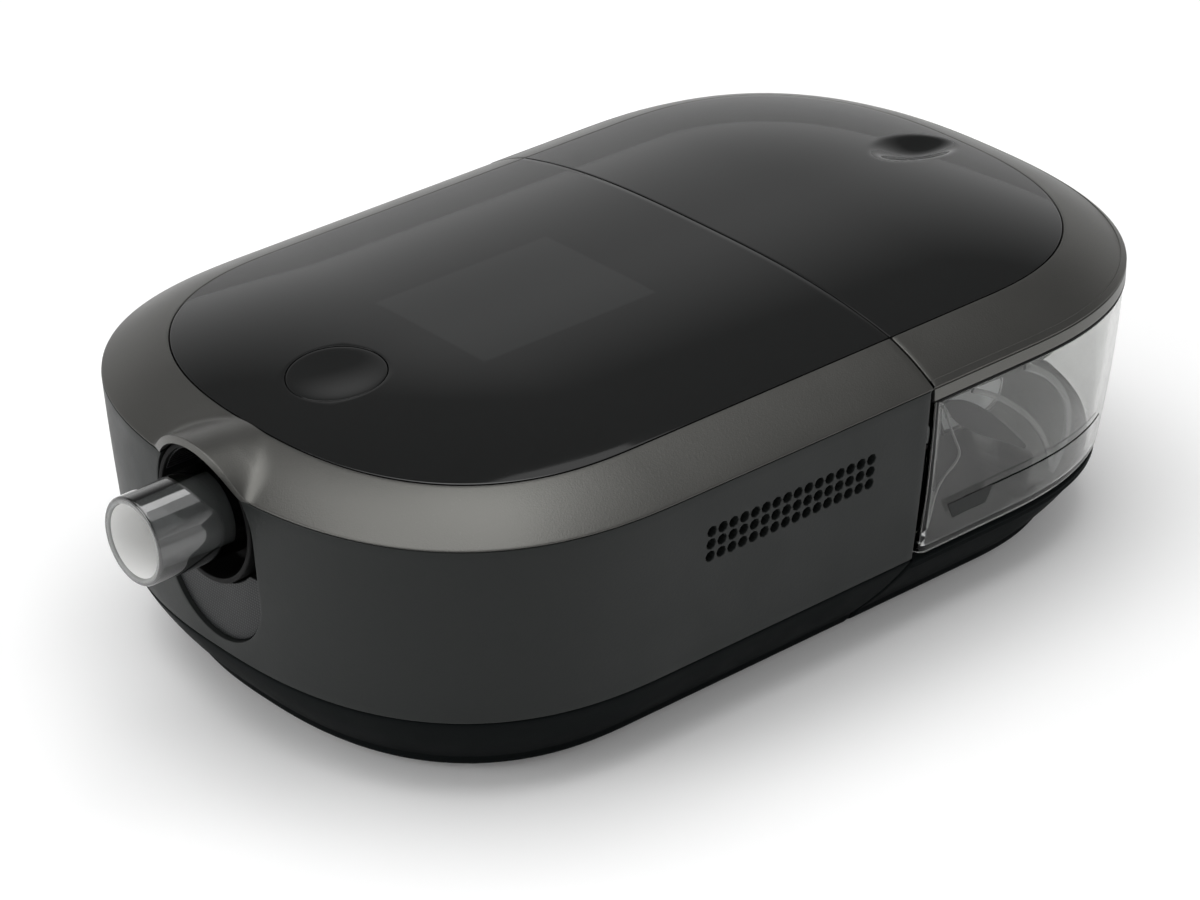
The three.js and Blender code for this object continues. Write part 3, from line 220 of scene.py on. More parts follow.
def normals(points, faces):
    """Normal of each point: the sum of the cross products of the diagonals of its faces."""
    p = points[faces]
    cross = np.cross(p[:, 2] - p[:, 0], p[:, 3] - p[:, 1])
    out = np.zeros_like(points)
    for k in range(4):
        np.add.at(out, faces[:, k], cross)
    return unit(out)


def thick(surface, depth, lip, steps=3):
    """A closed wall from an outer skin. At the skin's open edges the wall turns inward on a
    quarter circle: P = S + lip sin(t) d - lip (1 - cos t) n, with n the skin's normal and d the
    way out of the skin along itself. Then it runs straight to the inner skin, S - depth n."""
    points, faces = welded(surface)
    n = normals(points, faces)
    count = len(points)
    a, b = faces.reshape(-1), np.roll(faces, -1, 1).reshape(-1)
    a, b = a[a != b], b[a != b]
    open_edge = ~np.isin(a * count + b, b * count + a)
    a, b = a[open_edge], b[open_edge]
    run = unit(points[b] - points[a])
    along = np.zeros_like(points)
    np.add.at(along, a, run)
    np.add.at(along, b, run)
    out = unit(np.cross(along, n))
    rings = [points]
    for t in np.linspace(0, QUARTER, steps + 1)[1:]:
        rings.append(points + lip * math.sin(t) * out - lip * (1 - math.cos(t)) * n)
    rings += [points + lip * out - depth * n, points - depth * n]
    quads = [faces]
    for k in range(len(rings) - 1):
        low, high = k * count, (k + 1) * count
        quads.append(np.stack([b + low, a + low, a + high, b + high], -1))
    quads.append(faces[:, ::-1] + (len(rings) - 1) * count)
    return welded((np.concatenate(rings), np.concatenate(quads)))


def spread(*stops):
    """Values from stop to stop: stops are pairs of (value, number of steps to it)."""
    out = [np.array([stops[0][0]], float)]
    for (low, _), (high, steps) in zip(stops, stops[1:]):
        out.append(np.linspace(low, high, steps + 1)[1:])
    return np.concatenate(out)


def lines_of(*runs):
    """Grid lines from several runs of numbers, in order and each once."""
    return np.unique(np.concatenate(runs).round(6))


def through(x, knots):
    """The curve of lowest degree through the knots (x, y), by Lagrange's formula."""
    total = 0
    for i, (xi, yi) in enumerate(knots):
        term = yi
        for j, (xj, _) in enumerate(knots):
            if j != i:
                term = term * (x - xj) / (xi - xj)
        total = total + term
    return total


def edge_of(block, i0, i1, j0, j1):
    """The points round a block of a grid's cells, walked in order."""
    return np.concatenate(
        [block[i0:i1, j0], block[i1, j0:j1], block[i1:i0:-1, j1], block[i0, j1:j0:-1]]
    )


def rings_between(edge, rim, count, power=1.0):
    """Rings of points from an edge to a rim: E (1 - s) + R s, with s = (k / count)^power."""
    s = np.linspace(0, 1, count + 1)[None, :, None] ** power
    return edge[:, None] * (1 - s) + rim[:, None] * s


def circle_facing(edge, centre, radius):
    """The point of a circle that faces each point of an edge round it."""
    return np.array(centre) + radius * unit(edge - np.array(centre))


def rounded(q, half, corner):
    """Sends points q of a rectangle's edge, as shares of it, to the edge of a rounded rectangle:
    in a corner, the point lies on a circle round the corner's centre."""
    p = q * half
    centre = np.clip(p, corner - half, half - corner)
    way = p - centre
    size = np.linalg.norm(way, axis=-1, keepdims=True)
    return np.where(size > 1e-9, centre + corner * unit(way, 1e-9), p)


def sheet(us, vs, place, holes, rings=4):
    """A skin over the lattice us x vs, placed by place(u, v), with holes. A hole is its block of
    cells (u0, u1, v0, v1), its centre, half sizes and corner. The block's cells are left out, and
    rings of quads run from its edge to the hole's rounded outline."""
    flat = np.stack(lattice(us, vs), -1)
    points, faces = grid(place(flat[..., 0], flat[..., 1]))
    keep = np.ones((len(us) - 1, len(vs) - 1), bool)
    parts = []
    for (u0, u1, v0, v1), centre, half, corner in holes:
        i0, i1 = np.searchsorted(us, [u0 - 1e-6, u1 - 1e-6])
        j0, j1 = np.searchsorted(vs, [v0 - 1e-6, v1 - 1e-6])
        keep[i0:i1, j0:j1] = False
        edge = edge_of(flat, i0, i1, j0, j1)
        share = 2 * (edge - (u0, v0)) / (u1 - u0, v1 - v0) - 1
        rim = np.array(centre) + rounded(share, np.array(half), corner)
        ring = rings_between(edge, rim, rings, 0.7)
        parts.append(grid(place(ring[..., 0], ring[..., 1]), closed=True))
    return together((points, faces[keep.reshape(-1)]), *parts)


def carried(path, side, up, profile):
    """A profile carried along a path: P = path(u) + profile_a(v) side(u) + profile_b(v) up(u),
    with the profile a closed loop and flat fans over the two ends."""
    side, up = np.broadcast_to(side, path.shape), np.broadcast_to(up, path.shape)
    loop = np.concatenate([profile, profile[:1]])
    points = path[:, None] + loop[:, :1] * side[:, None] + loop[:, 1:] * up[:, None]
    ends = []
    for k, way in ((0, 1), (-1, -1)):
        ring = points[k]
        fan = np.stack([ring, np.broadcast_to(ring[:-1].mean(0), ring.shape)], 1)
        ends.append(grid(fan[::way]))
    return together(grid(points), *ends)


def spun(profile, origin, axis, side, steps):
    """A profile of (distance along the axis, radius) spun round it:
    P = origin + along axis + radius (cos t side + sin t (axis x side))."""
    axis, side = np.array(axis), np.array(side)
    t = np.linspace(0, FULL, steps + 1)[:, None]
    ring = np.cos(t) * side + np.sin(t) * np.cross(axis, side)
    return grid(np.array(origin) + profile[:, :1] * axis + profile[:, 1:] * ring[:, None])


def fillets(corners, steps=5):
    """A polyline with its corners rounded: corners are (x, y, radius), and each is replaced by
    the quadratic curve that touches both sides at that distance."""
    pts = np.array([c[:2] for c in corners], float)
    out = [pts[:1]]
    for k in range(1, len(pts) - 1):
        radius = corners[k][2]
        if radius <= 0:
            out.append(pts[k : k + 1])
            continue
        back, ahead = pts[k - 1] - pts[k], pts[k + 1] - pts[k]
        lb, la = np.linalg.norm(back), np.linalg.norm(ahead)
        start = pts[k] + back / lb * min(radius, 0.49 * lb)
        end = pts[k] + ahead / la * min(radius, 0.49 * la)
        t = np.linspace(0, 1, steps + 1)[:, None]
        out.append((1 - t) ** 2 * start + 2 * t * (1 - t) * pts[k] + t**2 * end)
    out.append(pts[-1:])
    return np.concatenate(out)


def loop_of(corners, steps=5):
    """The same for a closed loop: it ends on its first corner."""
    return fillets([*corners, corners[0]], steps)


def smooth_mesh(name, points, faces):
    mesh = bpy.data.meshes.new(name)
    mesh.from_pydata(points.tolist(), [], faces)
    mesh.polygons.foreach_set("use_smooth", np.ones(len(mesh.polygons), bool))
    return mesh


def put(name, surface, body, slot, hides=(), look=None):
    """Makes the object: millimetres from the housing's middle become metres in the part's frame,
    equal points are merged, and edges under the sharp angle are shaded smooth. The finish is the
    slot's, or another one where a look is named."""
    points, faces = welded(surface)
    merged = (faces == np.roll(faces, -1, 1)).any(1).tolist()
    rows = [list(dict.fromkeys(f)) if same else f for f, same in zip(faces.tolist(), merged)]
    mesh = smooth_mesh(name, (points + np.array([MIDDLE, 0, 0])) * MILLI, rows)
    mesh.update()
    mesh.set_sharp_from_angle(angle=SHARP)
    mesh.materials.append(finish(look or slot))
    piece = bpy.data.objects.new(name, mesh)
    bpy.context.scene.collection.objects.link(piece)
    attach(piece, body)
    if hides:
        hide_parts(*hides)


# ---------------------------------------------------------------- form of the housing


class Form:
    """The housing's outline and heights, in millimetres, read from the sizes."""

    cap = 24.0  # half width of the flat-mapped middle of an end
    turn = 8.0  # how far the long side's x lines run into the rounded end
    plain = ("straight", "machine_end", "tank_face", "foot", "base_top", "wall_top", "rim_top")

    def __init__(self, scene):
        sizes = scene.machine_housing
        self.half, self.depth = mm(sizes.width) / 2, mm(sizes.end_depth)
        self.rise, self.rim = mm(sizes.dome_rise), mm(sizes.rim_inset)
        self.power, self.lean = sizes.end_power, math.tan(sizes.lean)
        for name in self.plain:
            setattr(self, name, mm(getattr(sizes, name)))

    def side_y(self, x, inset):
        """Half width at x: constant between the ends, then the superellipse
        B (1 - (dx / A)^n)^(1/n)."""
        dx = np.clip((np.abs(x) - self.straight) / (self.depth - inset), 0, 1)
        return (self.half - inset) * (1 - dx**self.power) ** (1 / self.power)

    def end_x(self, y, inset):
        """Distance of the end from the middle at y: straight + A (1 - (y / B)^n)^(1/n)."""
        share = np.clip(np.abs(y) / (self.half - inset), 0, 1)
        return self.straight + (self.depth - inset) * (1 - share**self.power) ** (1 / self.power)

    def outline(self, a, inset, end, corner):
        """The plan outline of the part on the -X side of x = end, walked anticlockwise.
        a runs over eight stretches of length 1: middle of the rounded end, near arc, near side,
        near corner, flat end, far corner, far side, far arc."""
        a, inset, end = np.broadcast_arrays(a, inset, end)
        stretch = np.clip(np.floor(a), 0, 7).astype(int)
        f = a - stretch
        ahead = np.where(stretch > 5, 1 - f, f)
        big_a, big_b, n = self.depth - inset, self.half - inset, self.power
        # middle of the rounded end
        y0 = self.cap * (1 - 2 * f)
        x0 = -self.end_x(y0, inset)
        # arcs, by the angle of the superellipse
        t0 = np.arcsin((self.cap / big_b) ** (n / 2))
        t1 = np.arccos((self.turn / big_a) ** (n / 2))
        t = t0 + (t1 - t0) * ahead
        x1 = -self.straight - big_a * np.cos(t) ** (2 / n)
        y1 = big_b * np.sin(t) ** (2 / n)
        # long sides, by x
        start = -self.straight - self.turn
        x2 = start + (end - corner - start) * ahead
        y2 = self.side_y(x2, inset)
        # corners and flat end
        angle, far = QUARTER * f, stretch == 5
        x3 = end - corner + corner * np.where(far, np.cos(angle), np.sin(angle))
        y3 = (big_b - corner) + corner * np.where(far, np.sin(angle), np.cos(angle))
        y4 = (big_b - corner) * (2 * f - 1)
        near = np.where(stretch < 4, -1, 1)
        arc, side = (stretch == 1) | (stretch == 7), (stretch == 2) | (stretch == 6)
        kinds = [stretch == 0, arc, side, stretch == 4]
        x = np.select(kinds, [x0, x1, x2, end + 0 * a], x3)
        y = np.select(kinds, [y0, near * y1, near * y2, y4], near * y3)
        return x, y

    def side_share(self, x, end, corner):
        """The share of a long side's stretch at which x lies."""
        start = -self.straight - self.turn
        return (np.asarray(x, float) - start) / (end - corner - start)

    def wall_inset(self, z):
        return through(z, WALL_DRAFT)

    def base_inset(self, z):
        return through(z, BASE_DRAFT)

    def rim_height(self, inset):
        return through(inset, ((0.0, self.wall_top), (8.0, 76.7), (self.rim, self.rim_top)))

    def dome(self, x, y):
        """Height of the gloss panels: rim top + rise (1 - share^2.93), where the share is 1 on
        the rim's inner edge: share = ((dx / A)^n + (y / B)^n)^(1/n)."""
        dx = np.maximum(np.abs(x) - self.straight, 0) / (self.depth - self.rim)
        dy = np.abs(y) / (self.half - self.rim)
        share = (dx**self.power + dy**self.power) ** (1 / self.power)
        return self.rim_top + self.rise * (1 - np.minimum(share, 1.0) ** 2.93)

    def seam_x(self, z):
        """The slanted seam between base and cradle: it leans towards -X going down."""
        return self.machine_end - (self.base_top - np.minimum(z, self.base_top)) * self.lean


def ring_lines(sides, end):
    """Values of a for the whole outline, with so many lines on a long side and the flat end."""
    counts = (33, 37, sides, 6, end, 6, sides, 37)
    runs = [k + np.linspace(0, 1, count)[:-1] for k, count in enumerate(counts)]
    return np.concatenate([*runs, [8.0]])


# ---------------------------------------------------------------- materials


def group_tree(name, outputs, **inputs):
    """A node group that takes and gives plain numbers: its tree, inputs and outputs."""
    tree = bpy.data.node_groups.new(name, "ShaderNodeTree")
    kind = "NodeSocketFloat"
    for title, default in inputs.items():
        socket = tree.interface.new_socket(name=title, in_out="INPUT", socket_type=kind)
        socket.default_value = default
    for title in outputs:
        tree.interface.new_socket(name=title, in_out="OUTPUT", socket_type=kind)
    given, out = tree.nodes.new("NodeGroupInput"), tree.nodes.new("NodeGroupOutput")
    return tree, given.outputs, out.inputs


def add(tree, kind, **inputs):
    """A node with its unlinked inputs."""
    node = tree.nodes.new(kind)
    for key, value in inputs.items():
        node.inputs[key].default_value = value
    return node


def fill(tree, socket, value):
    """Links a socket, or sets it where the value is a number."""
    if isinstance(value, (int, float)):
        socket.default_value = value
    else:
        tree.links.new(value, socket)


def maths(tree, operation, a, b=None, clamp=False):
    node = tree.nodes.new("ShaderNodeMath")
    node.operation = operation
    node.use_clamp = clamp
    fill(tree, node.inputs[0], a)
    if b is not None:
        fill(tree, node.inputs[1], b)
    return node.outputs[0]


def times(tree, a, b, clamp=False):
    return maths(tree, "MULTIPLY", a, b, clamp)


def ranged(tree, value, low, high, to_low, to_high):
    node = tree.nodes.new("ShaderNodeMapRange")
    for k, number in enumerate((value, low, high, to_low, to_high)):
        fill(tree, node.inputs[k], number)
    return node.outputs[0]


def in_place(tree, *nodes):
    """Gives the nodes the object's own coordinates."""
    where = add(tree, "ShaderNodeTexCoord").outputs["Object"]
    for node in nodes:
        tree.links.new(where, node.inputs["Vector"])


def speckle(tree, given, **inputs):
    """Noise at the group's own scale."""
    noise = add(tree, "ShaderNodeTexNoise", **inputs)
    in_place(tree, noise)
    tree.links.new(given["Scale"], noise.inputs["Scale"])
    return noise.outputs[0]


def grain_group():
    """Moulded grain: two sizes of noise as a height, and a slow mottle for colour."""
    tree, given, out = group_tree(
        "Moulded grain", ("Height", "Roughness", "Mottle"), Scale=2600.0, Roughness=0.5, Spread=0.06
    )
    fine = add(tree, "ShaderNodeTexNoise", Detail=3.0, Roughness=0.6)
    coarse = add(tree, "ShaderNodeTexNoise", Scale=60.0, Detail=4.0)
    cells = add(tree, "ShaderNodeTexVoronoi")
    in_place(tree, fine, coarse, cells)
    tree.links.new(given["Scale"], fine.inputs["Scale"])
    tree.links.new(times(tree, given["Scale"], 0.5), cells.inputs["Scale"])
    height = maths(tree, "ADD", fine.outputs[0], times(tree, cells.outputs["Distance"], 0.6))
    tree.links.new(height, out["Height"])
    swing = ranged(tree, coarse.outputs[0], 0.3, 0.7, -1.0, 1.0)
    rough = maths(tree, "ADD", given["Roughness"], times(tree, swing, given["Spread"]))
    tree.links.new(rough, out["Roughness"])
    tree.links.new(coarse.outputs[0], out["Mottle"])


def wear_group():
    """Edge wear: the mesh's pointiness, broken up by noise, as a mask of 0 to 1."""
    tree, given, out = group_tree("Edge wear", ("Mask",), Amount=0.4, Scale=300.0)
    shape = add(tree, "ShaderNodeNewGeometry")
    edge = ranged(tree, shape.outputs["Pointiness"], 0.52, 0.60, 0.0, 1.0)
    patches = ranged(tree, speckle(tree, given, Detail=4.0), 0.35, 0.65, 0.2, 1.0)
    worn = times(tree, times(tree, edge, patches), given["Amount"], clamp=True)
    tree.links.new(worn, out["Mask"])


def dust_group():
    """Dust: specks of noise that lie thicker on faces that look up, as a mask of 0 to 1."""
    tree, given, out = group_tree("Fine dust", ("Mask",), Amount=0.2, Scale=900.0)
    parts = add(tree, "ShaderNodeSeparateXYZ")
    shape = add(tree, "ShaderNodeNewGeometry")
    tree.links.new(shape.outputs["Normal"], parts.inputs[0])
    up = ranged(tree, parts.outputs[2], 0.2, 1.0, 0.1, 1.0)
    specks = ranged(tree, speckle(tree, given, Detail=5.0, Roughness=0.7), 0.62, 0.72, 0.0, 1.0)
    tree.links.new(times(tree, times(tree, up, specks), given["Amount"], clamp=True), out["Mask"])


def effect(tree, name, **values):
    node = tree.nodes.new("ShaderNodeGroup")
    node.node_tree = bpy.data.node_groups[name]
    for key, value in values.items():
        node.inputs[key].default_value = value
    return node.outputs


def mixed(tree, mask, one, two):
    """A colour between one and two by a mask."""
    node = tree.nodes.new("ShaderNodeMix")
    node.data_type = "RGBA"
    tree.links.new(mask, node.inputs["Factor"])
    for socket, value in (("A", one), ("B", two)):
        plug = next(s for s in node.inputs if s.name == socket and s.type == "RGBA")
        if isinstance(value, tuple):
            plug.default_value = (*value, 1.0)
        else:
            tree.links.new(value, plug)
    return next(s for s in node.outputs if s.type == "RGBA")


def scaled(tone, factor, more=0.0):
    return tuple(min(1.0, c * factor + more) for c in tone)


def fresh(name):
    """A new material, its tree and its shader."""
    material = bpy.data.materials.new(name)
    material.use_nodes = True
    return material, material.node_tree, material.node_tree.nodes["Principled BSDF"]


def dress(tree, shader, tint, grain, bump, distance, **plain):
    """Links a colour, the grain's roughness and its height, and sets the plain values."""
    tree.links.new(tint, shader.inputs["Base Color"])
    tree.links.new(grain["Roughness"], shader.inputs["Roughness"])
    lift = add(tree, "ShaderNodeBump", Strength=bump, Distance=distance)
    tree.links.new(grain["Height"], lift.inputs["Height"])
    tree.links.new(lift.outputs["Normal"], shader.inputs["Normal"])
    for key, value in plain.items():
        shader.inputs[key.replace("_", " ")].default_value = value


def moulded(
    name,
    tone,
    rough,
    metal=0.0,
    scale=2600.0,
    bump=0.05,
    swing=0.06,
    wear=0.3,
    dust=0.15,
    specular=0.5,
    mottle=0.12,
):
    """A moulded or cast finish: grain in the height and roughness, slow mottle in the colour,
    paler worn edges and a little dust."""
    material, tree, shader = fresh(name)
    grain = effect(tree, "Moulded grain", Scale=scale, Roughness=rough, Spread=swing)
    worn = effect(tree, "Edge wear", Amount=wear)
    specks = effect(tree, "Fine dust", Amount=dust)
    tint = mixed(tree, grain["Mottle"], scaled(tone, 1 - mottle), scaled(tone, 1 + mottle))
    tint = mixed(tree, worn["Mask"], tint, scaled(tone, 1.5, 0.02))
    tint = mixed(tree, specks["Mask"], tint, scaled(tone, 1, 0.12))
    plain = {"Metallic": metal, "Specular_IOR_Level": specular, "Coat_Roughness": 0.04}
    dress(tree, shader, tint, grain, bump, 0.0002, **plain)
    return material


def clear(name, tone, rough, ior, coat=0.0):
    """A see-through moulding: plain transmission, with flow ripple and faint scuffs in the
    roughness and the height."""
    material, tree, shader = fresh(name)
    grain = effect(tree, "Moulded grain", Scale=90.0, Roughness=rough, Spread=0.02)
    specks = effect(tree, "Fine dust", Amount=0.25, Scale=700.0)
    tint = mixed(tree, grain["Mottle"], scaled(tone, 0.97), tuple(tone))
    tint = mixed(tree, specks["Mask"], tint, scaled(tone, 1.05))
    plain = {"IOR": ior, "Transmission_Weight": 1.0, "Coat_Weight": coat}
    dress(tree, shader, tint, grain, 0.012, 0.0004, **plain)
    return material


def paler(tree, shader, mask, tone):
    """Mixes a paler tone over the shader's colour by a mask."""
    socket = shader.inputs["Base Color"]
    tree.links.new(mixed(tree, mask, socket.links[0].from_socket, tone), socket)


def raster(name, tone):
    """Black face with a fine raster of square studs, in object coordinates across the face."""
    material = moulded(name, tone, 0.45, scale=2000, wear=0.0, dust=0.05, specular=0.3)
    tree = material.node_tree
    shader = tree.nodes["Principled BSDF"]
    parts = add(tree, "ShaderNodeSeparateXYZ")
    in_place(tree, parts)
    bands, pitch = [], 0.0008
    for k in (1, 2):
        wave = maths(tree, "SINE", times(tree, parts.outputs[k], FULL / pitch))
        bands.append(ranged(tree, wave, -0.3, 0.3, 0.0, 1.0))
    studs = times(tree, *bands)
    paler(tree, shader, studs, scaled(tone, 4.0, 0.016))
    lift = add(tree, "ShaderNodeBump", Strength=0.6, Distance=0.0001)
    tree.links.new(studs, lift.inputs["Height"])
    tree.links.new(shader.inputs["Normal"].links[0].from_socket, lift.inputs["Normal"])
    tree.links.new(lift.outputs["Normal"], shader.inputs["Normal"])
    return material


def gloss_panel(name, tone):
    """Black gloss with a display behind it: a rectangle, a little paler, in object coordinates,
    max(|x - cx| - a, |y - cy| - b) below nought."""
    material = moulded(
        name, tone, 0.06, scale=900.0, bump=0.002, swing=0.015, wear=0.0, dust=0.06, mottle=0.05
    )
    tree = material.node_tree
    parts = add(tree, "ShaderNodeSeparateXYZ")
    in_place(tree, parts)
    lo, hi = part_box("display_module")
    past = []
    for k in (0, 1):
        off = maths(tree, "SUBTRACT", parts.outputs[k], (lo[k] + hi[k]) / 2)
        past.append(maths(tree, "SUBTRACT", maths(tree, "ABSOLUTE", off), (hi[k] - lo[k]) / 2))
    mask = ranged(tree, maths(tree, "MAXIMUM", *past), -0.0006, 0.0, 1.0, 0.0)
    paler(tree, tree.nodes["Principled BSDF"], mask, scaled(tone, 1.9))
    return material


# tone, roughness and the rest of each finish that has no colour setting of its own
LOOKS = {
    # grey of the outlet's collar, also used for thin lines that paint highlights on the tank
    "collar_grey": ((0.26, 0.265, 0.26), 0.3, dict(scale=2400, bump=0.03, wear=0.0, dust=0.0)),
    # pale finish that paints the bright light seen inside the outlet's bore
    "bore_white": (
        (0.93, 0.93, 0.92),
        0.35,
        dict(scale=2400, bump=0.03, wear=0.0, dust=0.0, mottle=0.02),
    ),
    "black_plastic": ((0.006, 0.006, 0.0065), 0.5, dict(scale=2400, bump=0.1, wear=0.2)),
    # near-black that paints the shade in the outlet's recess, inside the vent holes and along the
    # lid's seam
    "well_black": (
        (0.0012, 0.0012, 0.0013),
        0.6,
        dict(bump=0.1, wear=0.0, dust=0.02, specular=0.15),
    ),
    "white_plastic": ((0.62, 0.63, 0.61), 0.5, dict(scale=2400, wear=0.0)),
    "rubber": ((0.012, 0.012, 0.013), 0.8, dict(scale=1500, bump=0.3, wear=0.1, dust=0.4)),
    "silicone": ((0.30, 0.32, 0.33), 0.6, dict(scale=1200, bump=0.1, wear=0.0, dust=0.3)),
    "steel": ((0.52, 0.53, 0.54), 0.3, dict(metal=1.0, scale=1400, wear=0.0)),
    "heater_alloy": ((0.42, 0.42, 0.43), 0.42, dict(metal=1.0, scale=900, bump=0.1, wear=0.1)),
    "circuit_board": ((0.012, 0.10, 0.035), 0.45, dict(scale=500, bump=0.1, wear=0.0, mottle=0.3)),
    "foam": ((0.045, 0.048, 0.053), 0.95, dict(scale=700, bump=1.0, wear=0.0, mottle=0.3)),
    "filter_fibre": ((0.60, 0.62, 0.60), 0.95, dict(scale=400, bump=1.0, wear=0.0, mottle=0.25)),
}


def make_finishes(scene):
    """All finishes, by the name of the record's slot or of a look."""
    grain_group()
    wear_group()
    dust_group()
    tones = scene.machine_finish
    housing = {
        "base_plastic": (0.45, dict(scale=1800, bump=0.10, wear=0.05, dust=0.05, specular=0.01)),
        "wall_plastic": (0.42, dict(scale=2200, bump=0.10, wear=0.06, dust=0.08, specular=0.2)),
        "rim_plastic": (
            0.34,
            dict(metal=0.88, scale=3600, bump=0.14, swing=0.015, wear=0.02, mottle=0.06),
        ),
    }
    for name, (rough, rest) in housing.items():
        FINISH[name] = moulded(name, getattr(tones, name.split("_")[0]), rough, **rest)
    for name, (tone, rough, rest) in LOOKS.items():
        FINISH[name] = moulded(name, tone, rough, **rest)
    FINISH["panel_plastic"] = gloss_panel("panel_plastic", tones.panel)
    FINISH["raster_black"] = raster("raster_black", (0.0055, 0.0062, 0.0066))
    FINISH["clear_plastic"] = clear("clear_plastic", tones.tank, 0.02, ior=1.38)
    FINISH["smoke_plastic"] = clear("smoke_plastic", tones.smoke, 0.02, ior=1.8, coat=1.0)


FINISH = {}


def finish(name):
    """A finish by its name; the first call makes them all."""
    if not FINISH:
        make_finishes(bpy.context.scene)
    return FINISH[name]


# ---------------------------------------------------------------- pieces of the housing


def towards(ring, core):
    """A flat sheet of nine lines from a core to a ring of points."""
    return grid(core + (ring[:, None] - core) * np.linspace(0, 1, 9)[None, :, None])


def floor_of(ring):
    """A flat sheet that closes a ring of points: each point runs to the nearest point of a
    middle line that stops short of the ring's two ends."""
    low, high = ring[:, 0].min(), ring[:, 0].max()
    reach = (high - low) * 0.12
    core = ring[:, None] * np.array([1.0, 0.0, 1.0])
    core[..., 0] = np.clip(core[..., 0], low + reach, high - reach)
    return towards(ring, core)


def plate_round(ring, centre, radius):
    """A flat sheet between a ring of points and a circle inside it, walked point by point."""
    circle = circle_facing(ring[:, :2], centre, radius)
    return towards(ring, np.concatenate([circle, ring[:, 2:]], 1)[:, None])


def bowl(form, top, end_of):
    """The dark underside: a flat floor, a keel rounded on a quarter circle and drafted sides
    whose inset is a quadratic of the height."""
    keel = 3.0
    t = np.linspace(0, QUARTER, 7)
    inset = form.base_inset(form.foot + keel) + keel * (1 - np.sin(t)) * 0.9
    zs = np.linspace(form.foot + keel, top, 15)[1:]
    insets = np.concatenate([inset, form.base_inset(zs)])
    heights = np.concatenate([form.foot + keel * (1 - np.cos(t)), zs])
    a, i = lattice(ring_lines(41, 25), insets)
    z = np.broadcast_to(heights, a.shape)
    side = np.stack([*form.outline(a, i, end_of(z), 1.2), z], -1)
    return together(floor_of(side[:, 0]), grid(side))


def make_base(scene):
    form = Form(scene)
    surface = bowl(form, form.base_top - 0.5, lambda z: form.seam_x(z) - 0.45)
    put("base_bowl", thick(surface, 2.2, 0.5), "machine", "base_plastic", ["base_tray"])


def end_line(y, limit):
    """Places a line of the flat end: true up to 53 from the middle, then drawn in or out so that
    83 comes to lie on the limit."""
    size = np.abs(y)
    return np.sign(y) * np.where(size > 53, 53 + (size - 53) / 30 * (limit - 53), size)


def end_lines():
    """Lines over the flat end, with the blocks of both ports between them."""
    half = spread((0, 0), (23, 4), (53, 12), (83, 6))
    return lines_of(-half, half)


def recess_edge(low, height, radius, q):
    """Where a line from a point q = (y, z) of the end's flat-mapped field meets the recess: a
    round-ended upright slot. Above the low centre the slot's half width is the radius up to the
    axis and then the circle's."""
    y, z = q.T
    around = circle_facing(q, (0.0, low), radius)
    width = np.sqrt(np.maximum(radius**2 - np.maximum(z - height, 0) ** 2, 0))
    return np.where((z >= low)[:, None], np.stack([np.sign(y) * width, z], -1), around)


